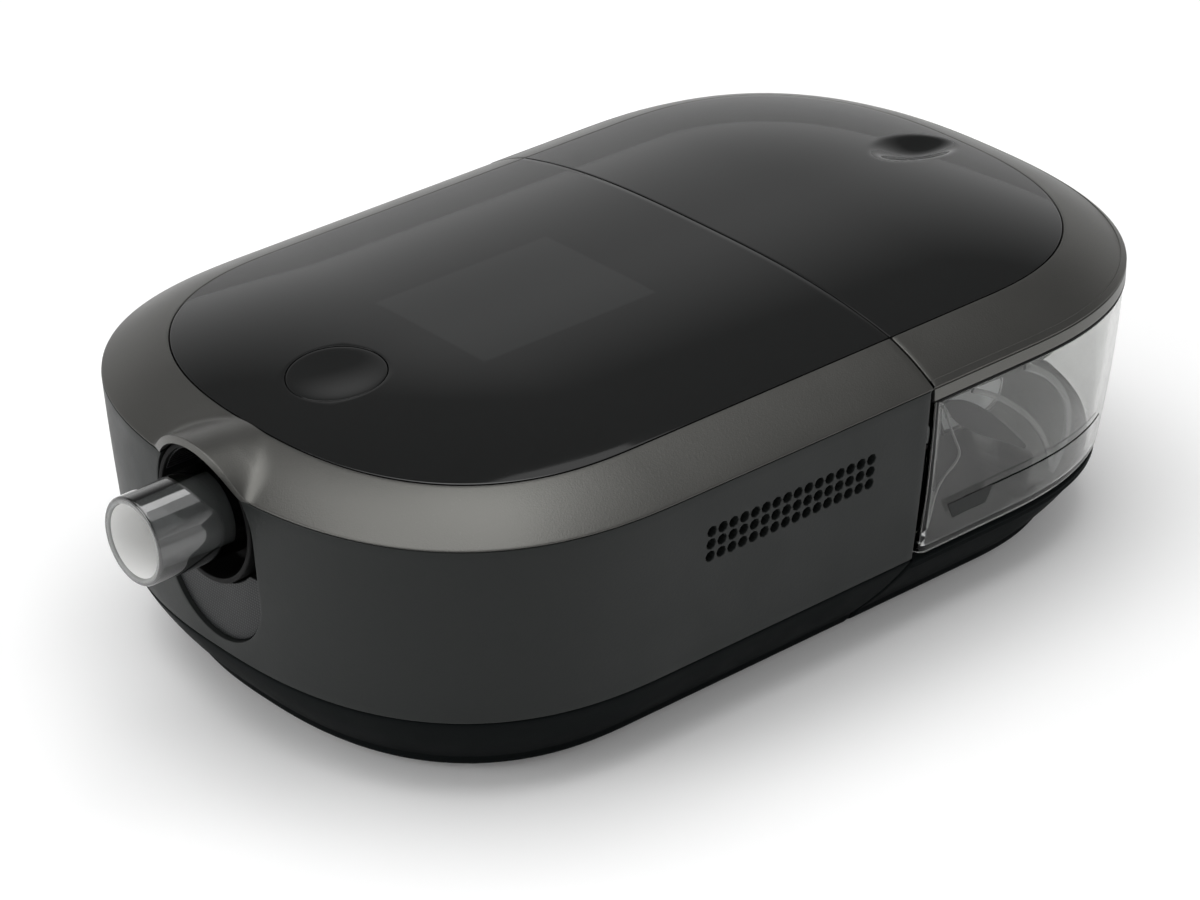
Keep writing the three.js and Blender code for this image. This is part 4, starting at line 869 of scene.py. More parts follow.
def make_wall(scene):
    """Side wall with its flat end, the slot of the outlet, the vents, the filter door's opening,
    the power inlet's opening and the two ports."""
    form = Form(scene)
    sizes, outlet = scene.machine_panel, scene.machine_outlet
    end, corner, lip = form.machine_end, 1.5, 0.2
    low, high = form.base_top + 0.4 + lip, form.wall_top - 0.4 - lip
    pitch, hole = mm(sizes.vent_pitch), mm(sizes.vent_width) / 2 + lip
    columns, rows = sizes.vent_columns, sizes.vent_rows
    cell = pitch / 2
    vent_x = 4.95 - pitch * np.arange(columns)[::-1]
    vent_z = 56.0 + pitch * (np.arange(rows) - (rows - 1) / 2)
    left, right, under, over = vent_x[0], vent_x[-1], vent_z[0], vent_z[-1]
    start = -66  # where the long side's own lines begin
    near_x = lines_of(
        np.linspace(start, left - cell, 9),
        np.linspace(left - cell, right + cell, 2 * columns + 1),
        np.linspace(right + cell, end - corner, 9),
    )
    door, inlet = (-61.5, -2.2, PORT_LOW, PORT_HIGH), (-2.2, 20.5, 26.8, 48.2)
    far_x = lines_of(
        np.linspace(start, door[0], 3),
        np.linspace(*door[:2], 25),
        np.linspace(*inlet[:2], 12),
        [end - corner],
    )
    zs = lines_of(
        np.linspace(low, inlet[2], 3),
        [PORT_LOW, 33.0, 36.0, 40.0, 44.0, inlet[3]],
        np.linspace(under - cell, over + cell, 2 * rows + 1),
        [PORT_HIGH, 66.0, 69.0, high],
    )

    def place(a, z):
        return np.stack([*form.outline(a, form.wall_inset(z), end, corner), z], -1)

    def place_near(x, z):
        return place(2 + form.side_share(x, end, corner), z)

    def place_far(x, z):
        return place(np.minimum(7 - form.side_share(x, end, corner), 7.0), z)

    def place_end(y, z):
        """The flat end closes on the wall's own half width at each height."""
        line = end_line(y, form.half - form.wall_inset(z) - corner)
        return np.stack([end + 0 * y, line, z], -1)

    vents = [
        ((x - cell, x + cell, z - cell, z + cell), (x, z), (hole, hole), hole)
        for x in vent_x
        for z in vent_z
    ]
    openings = [
        (door, (-31.0, 47.0), (27.3 + lip, 13.3 + lip), 2.2),
        (inlet, (9.0, 37.5), (9.75 + lip, 8.25 + lip), 1.6),
    ]
    port = 11.9 + lip
    ports = [
        ((y - PORT_BLOCK, y + PORT_BLOCK, PORT_LOW, PORT_HIGH), (y, PORT_Z), (port, port), port)
        for y in PORTS
    ]
    skins = [
        sheet(near_x, zs, place_near, vents, rings=2),
        turned(sheet(far_x, zs, place_far, openings)),
        sheet(end_lines(), zs, place_end, ports),
    ]
    # the two corners of the flat end and the two arcs of the rounded one
    for stretch, count in ((3, 6), (5, 6), (1, 37), (7, 37)):
        skins.append(grid(place(*lattice(stretch + np.linspace(0, 1, count), zs))))
    # middle of the rounded end: rings from the field's edge to the slot
    cap, radius = form.cap, mm(outlet.well) / 2 + lip
    upright = np.full(len(zs) - 1, cap)
    y = np.concatenate([upright, np.linspace(cap, -cap, 33), -upright])
    z = np.concatenate([zs[:0:-1], np.full(33, zs[0]), zs[1:]])
    path = np.stack([y, z], -1)
    slot = recess_edge(mm(outlet.recess_foot) + radius, mm(outlet.height), radius, path)
    y, z = np.moveaxis(rings_between(path, slot, 8, 0.8), -1, 0)
    skins.append(skin(-form.end_x(y, form.wall_inset(z)), y, z))
    wall = thick(together(*skins), WALL, lip)
    put("side_wall", wall, "machine", "wall_plastic", ["side_shell"])
    # a sheet in the foam slot behind the vents, near-black as painted shade inside the holes: the
    # wall's own surface, drawn inward
    past = 4
    xs, zs = np.linspace(left - past, right + past, 45), np.linspace(under - past, over + past, 9)
    x, z = lattice(xs, zs)
    felt = thick(skin(x, WALL + 0.05 - form.side_y(x, form.wall_inset(z)), z), 0.6, 0.2)
    put("vent_felt", felt, "machine", "foam", look="well_black")


def hood_height(x, y, height):
    """Height of the hood's cone over the plan: axis + sqrt(R(x)^2 - y^2), with R 20.4 at the
    hood's front and 18.4 at its back; far below the rim outside it."""
    radius = 18.4 + 2.0 * np.clip((-116.2 - x) / 21.0, 0, 1)
    inside = radius**2 - y**2
    return np.where(inside > 0, height + np.sqrt(np.maximum(inside, 0)), height - 20.0)


def make_rim(scene):
    """Satin rim with the hood over the outlet, one skin over the plan. The rim's section is a
    quadratic of the inset. Over the outlet the skin starts at the hood's front and its height is
    the soft maximum of rim and hood: z = m + k ln(1 + exp(-|d| / k)), m the higher one, d their
    difference and k the softness, which fades out at the panel."""
    form = Form(scene)
    lip = 0.15
    front = 137.2 - lip
    side, arc = np.linspace(0, 1, 49), np.linspace(0, 1, 41)
    low, high = lip, form.rim - lip
    insets = spread((low, 0), (2.5, 6), (high, 18))

    def slope(avs):
        a, i = lattice(avs, insets)
        return skin(*form.outline(a, i, form.machine_end - lip, SQUARE), form.rim_height(i))

    y, i = lattice(spread((24, 0), (19, 10), (-19, 114), (-24, 10)), insets)
    share = (i - low) / (high - low)
    ease = np.maximum(1 - (np.abs(y) / 18.6) ** 2.2, 0)
    x = -form.end_x(y, i) - (front - form.end_x(y, low)) * ease * (1 - share) ** 1.3
    inset = i
    for _ in range(12):
        inset = inset + form.end_x(y, inset) + x
    rim, cone = form.rim_height(inset), hood_height(x, y, mm(scene.machine_outlet.height))
    k = 0.25 + 1.3 * np.clip((-119.0 - x) / 9.0, 0, 1)
    z = np.maximum(rim, cone) + k * np.log1p(np.exp(-np.abs(rim - cone) / k))
    far = slope(np.concatenate([6 + side[:-1], 7 + arc[:-1], [7.9999999]]))
    near = slope(np.concatenate([1 + arc, 2 + side[1:]]))
    surface = welded(together(far, skin(x, y, z), near), 2e-3)
    put("rim", thick(surface, 2.0, lip), "machine", "rim_plastic", ["top_shell"])


def nearest(values, *targets):
    return (int(np.argmin(np.abs(values - target))) for target in targets)


def dome_sheet(form, end, inset, hole=None, scoop=None):
    """A gloss panel as a height over the plan: an edge band that follows the outline, from 0.965
    of its size to the whole, and a field of x and y lines inside it, with a hole (x, radius) for
    the button or a hollow for the thumb, deep (1 - rho^2)^1.5."""
    n, cut, keep = form.power, 0.965, 17.0
    big_a, big_b = form.depth - inset, form.half - inset
    angles = np.linspace(0, QUARTER, 65)
    if hole:
        block = np.array([hole[0] - keep, hole[0] + keep])
        share = (block + form.straight) / -(big_a * cut)
        angles = np.unique(np.concatenate([angles, np.arccos(share ** (n / 2))]))

    def top(x, y):
        if not scoop:
            return form.dome(x, y)
        place, half_x, half_y, deep = scoop
        rho = np.hypot((x + place) / half_x, y / half_y)
        return form.dome(x, y) - deep * np.maximum(1 - np.minimum(rho, 1.0) ** 2, 0) ** 1.5

    straight = np.linspace(0, 1, 57)[1:]
    flat = -form.straight + (end + form.straight) * straight

    def lines(share):
        x = -form.straight - big_a * share * np.cos(angles) ** (2 / n)
        y = big_b * share * np.sin(angles) ** (2 / n)
        return np.append(x, flat), np.append(y, big_b * share + 0 * straight)

    x, y = np.moveaxis(np.array([lines(share) for share in np.linspace(cut, 1, 7)]), 1, 0)
    parts = [skin(x, -y, top(x, y)), turned(skin(x, y, top(x, y)))]
    xs, limit = lines(cut)
    vs = spread((-2, 0), (-1, 19), (1, 32), (2, 19))
    x, v = lattice(xs, vs)
    wide = limit[:, None]
    strip = np.minimum(keep, wide)
    outer = np.sign(v) * (strip + (np.abs(v) - 1) * (wide - strip))
    y = np.where(np.abs(v) <= 1, v * strip, outer)
    points, faces = skin(x, y, top(x, y))
    if not hole:
        return together(*parts, (points, faces))
    i0, i1 = nearest(xs, *block)
    j0, j1 = nearest(vs, -1, 1)
    mask = np.ones((len(xs) - 1, len(vs) - 1), bool)
    mask[i0:i1, j0:j1] = False
    edge = edge_of(np.stack([x, y], -1), i0, i1, j0, j1)
    ring = rings_between(edge, circle_facing(edge, (hole[0], 0), hole[1]), 5, 0.8)
    x, y = ring[..., 0], ring[..., 1]
    ring = skin(x, y, top(x, y), closed=True)
    return together(*parts, (points, faces[mask.reshape(-1)]), ring)


def make_panel(scene):
    form = Form(scene)
    sizes = scene.machine_panel
    lip = 0.06
    hole = (mm(sizes.button_x), mm(sizes.button) / 2 + 0.15 + lip)
    surface = dome_sheet(form, form.machine_end - lip, form.rim + PANEL_GAP + lip, hole)
    put("gloss_panel", thick(surface, WALL, lip, 4), "machine", "panel_plastic", ["top_panel"])


def make_button(scene):
    """Start button: a disc on polar lines whose top is the dome less a hollow,
    z = dome(x, y) - dish (1 - (r / 11.8)^2)^1.5, with a rounded edge and a skirt."""
    form = Form(scene)
    sizes = scene.machine_panel
    cx, radius, dish = mm(sizes.button_x), mm(sizes.button) / 2 - 0.2, mm(sizes.dish)
    edge, skirt_depth, flange, dished = 0.1, 3.6, 1.6, 11.8
    turn = np.linspace(0, QUARTER, 5)
    rounding = radius - edge + edge * np.sin(turn)
    outer = radius + flange
    land = [dished + 0.05, dished + 0.1]
    r = np.concatenate([np.linspace(0, dished, 23), land, rounding, [radius, outer, outer]])
    skirt_drop = [skirt_depth, skirt_depth, skirt_depth + 1.0]
    drop = np.concatenate([np.zeros(25), edge * (1 - np.cos(turn)), skirt_drop])[:, None]
    rr, tt = lattice(r, np.linspace(0, FULL, 97))
    x, y = cx + rr * np.cos(tt), rr * np.sin(tt)
    hollow = dish * np.maximum(1 - (rr / dished) ** 2, 0) ** 1.5
    skirt = np.clip((drop - 1.0) / 2.6, 0, 1)
    level = form.dome(x, y) * (1 - skirt) + form.dome(np.array(cx), np.array(0.0)) * skirt
    z = level - 0.1 - hollow - drop
    points = np.stack([x, y, z], -1)
    middle = np.broadcast_to([cx, 0.0, z[-1].mean()], points[-1].shape)
    under = grid(np.stack([middle, points[-1]])[::-1])
    key = together(turned(grid(points[::-1])), under)
    put("start_key", key, "button", "panel_plastic", ["start_button"])


def make_outlet(scene):
    """Air outlet: rounded profiles of (distance, radius) spun round its axis, the ribs of the
    cup, and the plate below it."""
    form = Form(scene)
    sizes = scene.machine_outlet
    height, bore = mm(sizes.height), mm(sizes.well) / 2
    tip, root = mm(sizes.tip) / 2, mm(sizes.root) / 2
    far = form.straight + form.depth + mm(sizes.reach)

    def turn(name, corners, slot, hides=(), look=None, steps=96):
        round_it = spun(loop_of(corners), (0.0, 0.0, height), (-1.0, 0.0, 0.0), EY, steps)
        put(name, round_it, "machine", slot, hides, look)

    cup = [
        (114.1, 11.9, 0),
        (114.1, bore - 0.4, 0.8),
        (133.9, bore - 0.4, 0.4),
        (133.9, bore - 1.8, 0.4),
        (123.0, bore - 1.9, 0.8),
        (122.4, 14.2, 1.0),
        (115.8, 13.4, 1.0),
        (115.6, 11.9, 0),
    ]
    # the cup's near-black finish paints the shade inside the outlet's recess
    turn("outlet_cup", cup, "black_plastic", ["outlet_well"], "well_black")
    # ribs down the cup's upper flank
    rib = fillets([(0.35, -0.3, 0), (0.35, 0.35, 0.25), (-0.35, 0.35, 0.25), (-0.35, -0.3, 0)], 3)
    xs = np.linspace(-133.0, -123.6, 6)
    ribs = []
    for t in np.radians(np.linspace(20, 66, 15)):
        out = np.array([0.0, math.cos(t), math.sin(t)])
        across = np.array([0.0, -math.sin(t), math.cos(t)])
        path = np.stack([xs, 0 * xs, 0 * xs + height], -1) + out * (bore - 1.8)
        ribs.append(turned(carried(path, across, -out, rib)))
    put("outlet_cup_ribs", together(*ribs), "machine", "black_plastic")
    # the tube: a slow cone with a rounded mouth, clear with a smoky tint
    back, rough_wall = 111.7, 1.6
    tube = [
        (back, root - rough_wall, 0),
        (back, 14.5, 0.4),
        (114.0, 14.5, 0.4),
        (114.0, root + 0.1, 0.8),
        (far, tip, 0.75),
        (far, tip - rough_wall, 0.75),
    ]
    turn("outlet_pipe", tube, "smoke_plastic", ["outlet_tube"])
    # a pale ring at the bore's far end, seen through the mouth
    ring = [(112.2, 7.6, 0), (112.2, 9.9, 0.2), (113.4, 9.9, 0.2), (113.4, 7.6, 0.2)]
    turn("outlet_bore_ring", ring, "white_plastic", steps=64)
    # a sleeve in the front of the bore, pale to paint the bright light seen in the bore, and the
    # grey collar of the mouth
    face, start = far - 0.62, 132.5
    sleeve = [
        (start, root - 1.95, 0),
        (face, tip - 1.62, 0),
        (face, tip - 1.9, 0.1),
        (start, root - 2.3, 0),
    ]
    turn("outlet_sleeve", sleeve, "clear_plastic", look="bore_white")
    collar = [
        (face, tip - 1.7, 0),
        (face + 0.42, tip - 1.5, 0.15),
        (face + 0.42, tip - 0.75, 0.15),
        (face + 0.6, tip - 0.7, 0.05),
        (face + 0.6, tip - 1.65, 0.25),
        (face, tip - 1.95, 0.1),
    ]
    turn("outlet_collar", collar, "clear_plastic", look="collar_grey")
    # the plate below the well, a little under the wall's own surface
    y = np.linspace(-17.3, 17.3, 57)[:, None]
    bottom = mm(sizes.recess_foot) + bore - np.sqrt((bore - 0.8) ** 2 - y**2)
    top = np.minimum(height - np.sqrt((bore + 0.5) ** 2 - y**2), 49.2)
    v = np.linspace(0, 1, 15)[None, :]
    z = bottom * (1 - v) + np.maximum(top, bottom + 0.2) * v
    plate = thick(turned(skin(1.2 - form.end_x(y, form.wall_inset(z)), y, z)), 1.8, 0.3)
    put("recess_cover", plate, "machine", "black_plastic", ["recess_plate"], "raster_black")


def make_door(scene):
    """Filter door: a patch of the wall's surface, a little under it, with a hollowed grip along
    its upper edge, bars across it and two hinge pins."""
    form = Form(scene)
    lip, under = 0.5, 0.25
    x, z = lattice(
        np.linspace(-57.9 + lip, -4.1 - lip, 55), np.linspace(34.1 + lip, 59.9 - lip, 27)
    )
    grip = np.clip(1 - np.abs((x + 31) / 8.0) ** 6, 0, 1) * np.clip((z - 55.6) / 1.2, 0, 1)
    y = form.side_y(x, form.wall_inset(z)) - under - 1.1 * grip
    parts = [thick(turned(skin(x, y, z)), 1.9, lip)]
    bar = fillets([(0.3, -0.4, 0), (0.3, 0.3, 0.2), (-0.3, 0.3, 0.2), (-0.3, -0.4, 0)], 3)
    x = np.linspace(-53, -9, 23)
    for height in np.arange(37.5, 54.0, 2.2):
        z = np.full(23, height)
        path = np.stack([x, form.side_y(x, form.wall_inset(z)) - under, z], -1)
        parts.append(carried(path, EZ, EY, bar))
    pin = fillets([(-1.4, 0.0, 0), (-1.4, 0.5, 0.15), (1.4, 0.5, 0.15), (1.4, 0.0, 0)], 3)
    parts += [spun(pin, (x, 80.2, 35.9), EX, EY, 20) for x in (-58.6, -3.4)]
    put("filter_flap", together(*parts), "door", "wall_plastic", ["filter_door"])


def make_inlet():
    """Power inlet: a rounded frame and a socket that runs inward, as rounded rectangles of
    (half width, half height, corner, y), and two pins."""
    cx, cz, face, back, rear = 9.0, 37.5, 81.3, 71.0, 68.8
    rows = [
        (9.3, 7.8, 1.4, rear),
        (9.3, 7.8, 1.4, face - 0.5),
        (9.15, 7.65, 1.3, face - 0.15),
        (8.8, 7.3, 1.2, face),
        (7.4, 5.9, 1.0, face),
        (7.1, 5.6, 1.0, face - 0.3),
        (7.0, 5.5, 1.0, face - 1.0),
        (6.8, 5.3, 1.0, back),
    ]
    t = np.linspace(-1, 1, 13)[:-1]
    one = np.ones(12)
    square = np.stack([np.concatenate([t, one, -t, -one]), np.concatenate([-one, t, one, -t])], -1)
    loops = []
    for half_x, half_z, corner, y in rows:
        x, z = rounded(square, np.array([half_x, half_z]), corner).T
        loops.append(np.stack([cx + x, y + 0 * x, cz + z], -1))
    rings = np.stack(loops, 1)
    floor = np.broadcast_to([cx, back, cz], loops[-1].shape)
    outside = np.broadcast_to([cx, rear, cz], loops[0].shape)
    socket = together(
        grid(rings, closed=True),
        grid(np.stack([loops[-1], floor], 1), closed=True),
        grid(np.stack([outside, loops[0]], 1), closed=True),
    )
    put("inlet_socket", turned(socket), "machine", "black_plastic", ["power_inlet"])
    pin = fillets([(70.5, 0, 0), (70.5, 1.0, 0.1), (78.0, 1.0, 0.6), (78.0, 0, 0)])
    pins = [spun(pin, (cx + s, 0, cz), EY, EZ, 24) for s in (-2.6, 2.6)]
    put("inlet_pins", together(*pins), "machine", "steel")


# ---------------------------------------------------------------- cradle, tank and lid


def around(form, levels, face, corner):
    """Points round the tank's outline, from levels of (inset, height, setback of the flat face).
    The flat face keeps the lines of end_lines(), so that its ports stay round."""
    inset, height, back = np.array(levels).T
    lines = ring_lines(33, 3)

    def stretch(avs):
        a, i = lattice(avs, inset)
        x, y = form.outline(a, i, -face - back, corner)
        return np.stack(np.broadcast_arrays(x, y, height), -1)

    ys = end_line(end_lines()[1:-1, None], form.half - inset - corner)
    flat = np.stack(np.broadcast_arrays(-face - back, ys, height), -1)
    return np.concatenate([stretch(lines[lines <= 4]), flat, stretch(lines[lines >= 5])])


def make_cradle(scene):
    """Cradle under the tank: the same bowl, mirrored, from the slanted seam to the +X end, with
    a flat top that has a round well for the heater."""
    form = Form(scene)
    top = 20.75
    shell = thick(mirrored(bowl(form, 20.3, lambda z: -(form.seam_x(z) + 0.45))), 2.2, 0.5)
    level = [(form.base_inset(20.8) + 0.6, top, 0.0)]
    ring = around(form, level, form.seam_x(top) + 0.9, 1.0)[:, 0]
    cover = thick(mirrored(turned(plate_round(ring, HEATER, 39.4))), 1.8, 0.2)
    put("cradle", together(shell, cover), "machine", "base_plastic", ["tank_cradle"])


def knuckle(y0, y1):
    """A hinge knuckle: a rounded barrel between two places along y, with a bore for the pin."""
    barrel = [(y0, 1.65, 0), (y0, 3.0, 0.4), (y1, 3.0, 0.4), (y1, 1.65, 0)]
    return spun(loop_of(barrel), HINGE, EY, EX, 40)


def web(profile, y0, y1):
    """A bar of the given section in x and z, carried along y."""
    line = np.linspace(y0, y1, 4)
    path = np.stack([0 * line, line, 0 * line], -1)
    return turned(carried(path, EX, EZ, loop_of(profile)[:-1]))


def make_tank(scene):
    """Clear tank: one skin with a rounded foot, open at the rim, at both ports and over the
    heater, thickened inward. The insets are a quadratic of the height."""
    form = Form(scene)
    face, corner, lip = form.tank_face + 1.4, 2.2, 0.4
    low, high = 31.0, PORT_HIGH
    zs = lines_of(np.linspace(24.2, low, 5), np.linspace(low, high, 14), [65.0, 66.2, 67.2 - lip])
    t = np.linspace(0, QUARTER, 6)[:-1]
    back = 2.6 * (1 - np.sin(t))
    foot = np.stack([4.55 + back, 21.2 + 3.0 * (1 - np.cos(t)), back], -1)
    levels = np.concatenate([foot, np.stack([through(zs, TANK_DRAFT), zs, 0 * zs], -1)])
    points = around(form, levels, face, corner)
    flat, faces = grid(points)
    keep = np.ones((len(points) - 1, len(levels) - 1), bool)
    parts = []
    j0, j1 = nearest(levels[:, 1], low, high)
    x, y = points[:, j0, 0], points[:, j0, 1]
    on_face = np.where(np.abs(x + face) < 1e-6, y, 1e9)
    for port in PORTS:
        i0, i1 = nearest(on_face, port - PORT_BLOCK, port + PORT_BLOCK)
        keep[i0:i1, j0:j1] = False
        edge = edge_of(points, i0, i1, j0, j1)[:, 1:]
        ring = rings_between(edge, circle_facing(edge, (port, PORT_Z), 9.5 + lip), 4)
        parts.append(skin(-face, ring[..., 0], ring[..., 1], closed=True))
    walls = (flat, faces[keep.reshape(-1)])
    floor = plate_round(points[:, 0], HEATER, 38.9 + lip)
    shell = thick(mirrored(together(walls, floor, *parts)), WALL, lip)
    arm = [(130.0, 61.2, 0), (136.4, 61.2, 0.4), (136.4, 66.4, 0.4)]
    arm += [(133.9, 66.4, 0.2), (132.6, 64.0, 0)]
    tank = together(shell, knuckle(-5.2, 5.2), web(arm, -5.1, 5.1))
    put("tank_body", tank, "tank", "clear_plastic", ["water_tank"])


def make_tank_inside():
    """Inside the tank: two air guides, circles carried along a bent route
    (x, y, z) = (28 + 46 u, 38 (1 - 0.2 (3 u^2 - 2 u^3)), 48 - 13 u^1.8), and the splash arch."""
    u = np.linspace(0, 1, 49)
    t = (u * FULL)[:, None]
    start, reach, drop, radius = 28.15, 46.0, 13.0, 10.2
    for port, name in zip(PORTS[::-1], ("in", "out")):
        y = port * (1 - 0.2 * u**2 * (3 - 2 * u))
        path = np.stack([start + reach * u, y, PORT_Z - drop * u**1.8], -1)
        run = np.gradient(path, axis=0)
        across = unit(np.cross(run, EZ))
        up = np.cross(across, unit(run))
        ring = np.cos(t) * across[:, None] + np.sin(t) * up[:, None]
        guide = thick(turned(grid(path[:, None] + radius * ring)), 1.2, 0.3)
        put(f"guide_{name}", guide, "tank", "black_plastic", [f"air_guide_{name}"])
    # splash arch: a round vault carried across, on straight legs
    t = np.linspace(0, math.pi, 49)
    radius, middle, spring = 27.0, 82.0, 33.0
    left, right = middle - radius, middle + radius
    x = np.concatenate([[right, right], middle + radius * np.cos(t), [left, left]])[:, None]
    z = np.concatenate([[22.8, 28.0], spring + radius * np.sin(t), [28.0, 22.8]])[:, None]
    vault = thick(skin(x, np.linspace(-18.6, 18.6, 19), z), 1.5, 0.35)
    put("splash_vault", vault, "tank", "clear_plastic", ["splash_arch"])


def bent(*corners):
    """Cubic through four guide points: (1-t)^3 A + 3 t (1-t)^2 B + 3 t^2 (1-t) C + t^3 D."""
    a, b, c, d = np.array(corners, float)
    t = np.linspace(0, 1, 33)[:, None]
    return (1 - t) ** 3 * a + 3 * t * (1 - t) ** 2 * b + 3 * t**2 * (1 - t) * c + t**3 * d


def on_near_wall(form, xz, depth):
    """Points (x, z) laid on the tank's near wall, the given depth inside its outer face."""
    x, z = xz[..., 0], xz[..., 1]
    return np.stack([x, depth - form.side_y(x, through(z, TANK_DRAFT)), z], -1)


def wall_rib(form, xz, depth, wide, high):
    """A rib along a line on the near wall: a rounded bar carried along it."""
    path = on_near_wall(form, xz, depth)
    out = (0.0, -1.0, 0.0)
    across = unit(np.cross(np.gradient(path, axis=0), out))
    a, b = wide / 2, high / 2
    bar = [(a, -b, 0), (a, b, 0.1), (-a, b, 0.1), (-a, -b, 0.1)]
    return carried(path, across, out, loop_of(bar, 3)[:-1])


def make_tank_marks(scene):
    """On the tank's near wall: two bowed ribs and a leaf-shaped baffle behind it, the fill line
    and its blank tab, and thin grey lines round the port's bay that paint the highlights of a
    moulded corner."""
    form = Form(scene)

    def mark(name, surface, look):
        put(name, surface, "tank", "clear_plastic", look=look)

    long_rib = wall_rib(form, bent((41.4, 65.0), (52, 60), (70, 47), (75.2, 29.5)), 2.9, 1.5, 0.7)
    wide_rib = wall_rib(form, bent((59.9, 65.0), (71, 60), (89, 42), (75.8, 27.5)), 2.9, 1.9, 0.7)
    mark("tank_ribs", together(long_rib, wide_rib), "smoke_plastic")
    upper = bent((31.6, 64.8), (40, 65), (50, 55), (63.3, 40.9))
    lower = bent((33.7, 61.4), (38, 54), (50, 49), (63.0, 40.2))
    leaf = grid(on_near_wall(form, rings_between(lower, upper, 8), 3.2))
    mark("tank_baffle", thick(turned(leaf), 0.5, 0.15), "black_plastic")
    fill_line = np.stack([np.linspace(49.0, 98.0, 50), np.full(50, 34.6)], -1)
    mark("tank_fill_line", wall_rib(form, fill_line, -0.02, 0.55, 0.12), "base_plastic")
    u, v = lattice(np.linspace(0, 1, 17), np.linspace(0, 1, 7))
    tab = np.stack([(1 - u) * (37.2 - 2.4 * v) + u * (49.0 + 1.6 * v), 30.0 + 4.7 * v], -1)
    tab = thick(turned(grid(on_near_wall(form, tab, -0.06))), 0.12, 0.03)
    mark("tank_fill_tab", tab, "wall_plastic")
    # thin grey lines that paint highlights on a moulded corner round the port's bay
    bay = [(30.9, 64.6, 0), (34.6, 56.0, 8.0), (39.4, 47.0, 3.5), (31.4, 41.6, 5.0)]
    bay.append((30.2, 29.0, 0))
    mark("tank_bay_frame", wall_rib(form, fillets(bay, 9), 2.6, 0.45, 0.5), "collar_grey")


def make_lid(scene):
    """Lid: the rim's slope with a skirt below it, a flat front at the seam, a floor over the tank
    and two knuckles; the gloss panel with the thumb scoop; the seal and the hinge's rod."""
    form = Form(scene)
    face, lip = form.tank_face, 0.15
    side, arc = np.linspace(0, 1, 33), np.linspace(0, 1, 41)
    far = [6 + side[:-1], 7 + arc[:-1], [7.9999999]]
    avs = np.concatenate([*far, side[1:], 1 + arc[1:], 2 + side[1:]])
    skirt = np.stack([np.full(5, 0.3), np.linspace(68.3 + lip, 71.3, 5)], -1)
    groove = [[0.32, 71.55], [0.62, 71.72], [0.62, 72.0], [0.30, 72.15]]
    insets = spread((0.35, 0), (2.5, 6), (form.rim - lip, 16))
    slope = np.stack([insets, form.rim_height(insets)], -1)
    inset, height = np.concatenate([skirt, groove, slope]).T
    a, i = lattice(avs, inset)
    outer = skin(*form.outline(a, i, -face - 0.2 - lip, SQUARE), height)
    rim = thick(welded(mirrored(outer), 2e-3), 2.0, lip)
    # the flat front under the seam's edge, up to the rim's slope and the panel
    wide, low = form.half - 0.9, SEAM + 0.1
    y, v = lattice(np.linspace(-wide, wide, 81), np.linspace(0, 1, 13))
    near = form.half - np.abs(y)
    edge = np.interp(near, [0.3, 8.0, form.rim], [72.1, 76.7, 79.9])
    crown = np.where(near < form.rim, edge, form.dome(0 * y - face, y)) - 2.6
    z = low + (np.maximum(crown, 70.2) - low) * v
    front = thick(turned(skin(face + 0.35, y, z)), 1.8, 0.2)
    ring = around(form, [(3.2, SEAM, 0.0)], face + 2.4, 2.0)[:, 0]
    floor = thick(mirrored(floor_of(ring)), 1.6, 0.2)
    arm = [(133.2, 68.8, 0), (135.1, 66.0, 0.3), (138.9, 63.9, 0.4), (139.0, 67.4, 0.6)]
    arm += [(135.6, 70.6, 1.0), (133.2, 71.4, 0)]
    hinges = []
    for y0 in (-16.4, 5.9):
        hinges += [knuckle(y0, y0 + 10.5), web(arm, y0 + 0.1, y0 + 10.4)]
    put("lid_rim", together(rim, front, floor, *hinges), "lid", "rim_plastic", ["lid_shell"])
    # gloss panel
    sizes = scene.machine_panel
    half_length, half_width = mm(sizes.scoop_length) / 2, mm(sizes.scoop_width) / 2
    scoop = (mm(sizes.scoop_x), half_length, half_width, mm(sizes.scoop_depth))
    edge = 0.08
    panel = mirrored(dome_sheet(form, -face - edge, form.rim + PANEL_GAP + edge, scoop=scoop))
    put("lid_gloss", thick(panel, WALL, edge, 4), "lid", "panel_plastic", ["lid_panel"])
    # seal: a rounded strip carried round the tank's rim, near-black to paint the line of shade
    # along the seam
    inner = [(0.0, 67.32), (-0.1, 67.55), (-0.1, 67.95), (0.0, 68.18)]
    outer = [(1.8, 68.18), (1.9, 67.95), (1.9, 67.55), (1.8, 67.32)]
    section = [(0.42 + i, z, i) for i, z in inner + outer + inner[:1]]
    seal = mirrored(grid(around(form, section, face + 0.15, 3.0)))
    put("lid_gasket", seal, "lid", "silicone", ["lid_seal"], "well_black")
    # hinge pin: a turned rod with chamfered ends
    rod = fillets([(-16.4, 0, 0), (-16.4, 1.15, 0.3), (16.4, 1.15, 0.3), (16.4, 0, 0)])
    put("hinge_rod", spun(rod, HINGE, EY, EX, 32), "tank", "steel", ["hinge_pin"])


def make_feet():
    """Rubber feet: a disc with a rounded rim and a shallow ring, spun round the upright."""
    outer = [(2.3, 0, 0), (2.3, 6.8, 0.3), (0.0, 6.2, 0.9), (0.0, 4.2, 0.3)]
    profile = fillets(outer + [(0.35, 3.6, 0.2), (0.35, 0, 0)], 4)
    places = [(x, y, 0) for x in (-92.0, -4.0, 88.0) for y in (-48.0, 48.0)]
    for number, place in enumerate(places, 1):
        disc = turned(spun(profile, place, EZ, EX, 48))
        put(f"rubber_foot_{number}", disc, "machine", "rubber", [f"foot_{number}"])


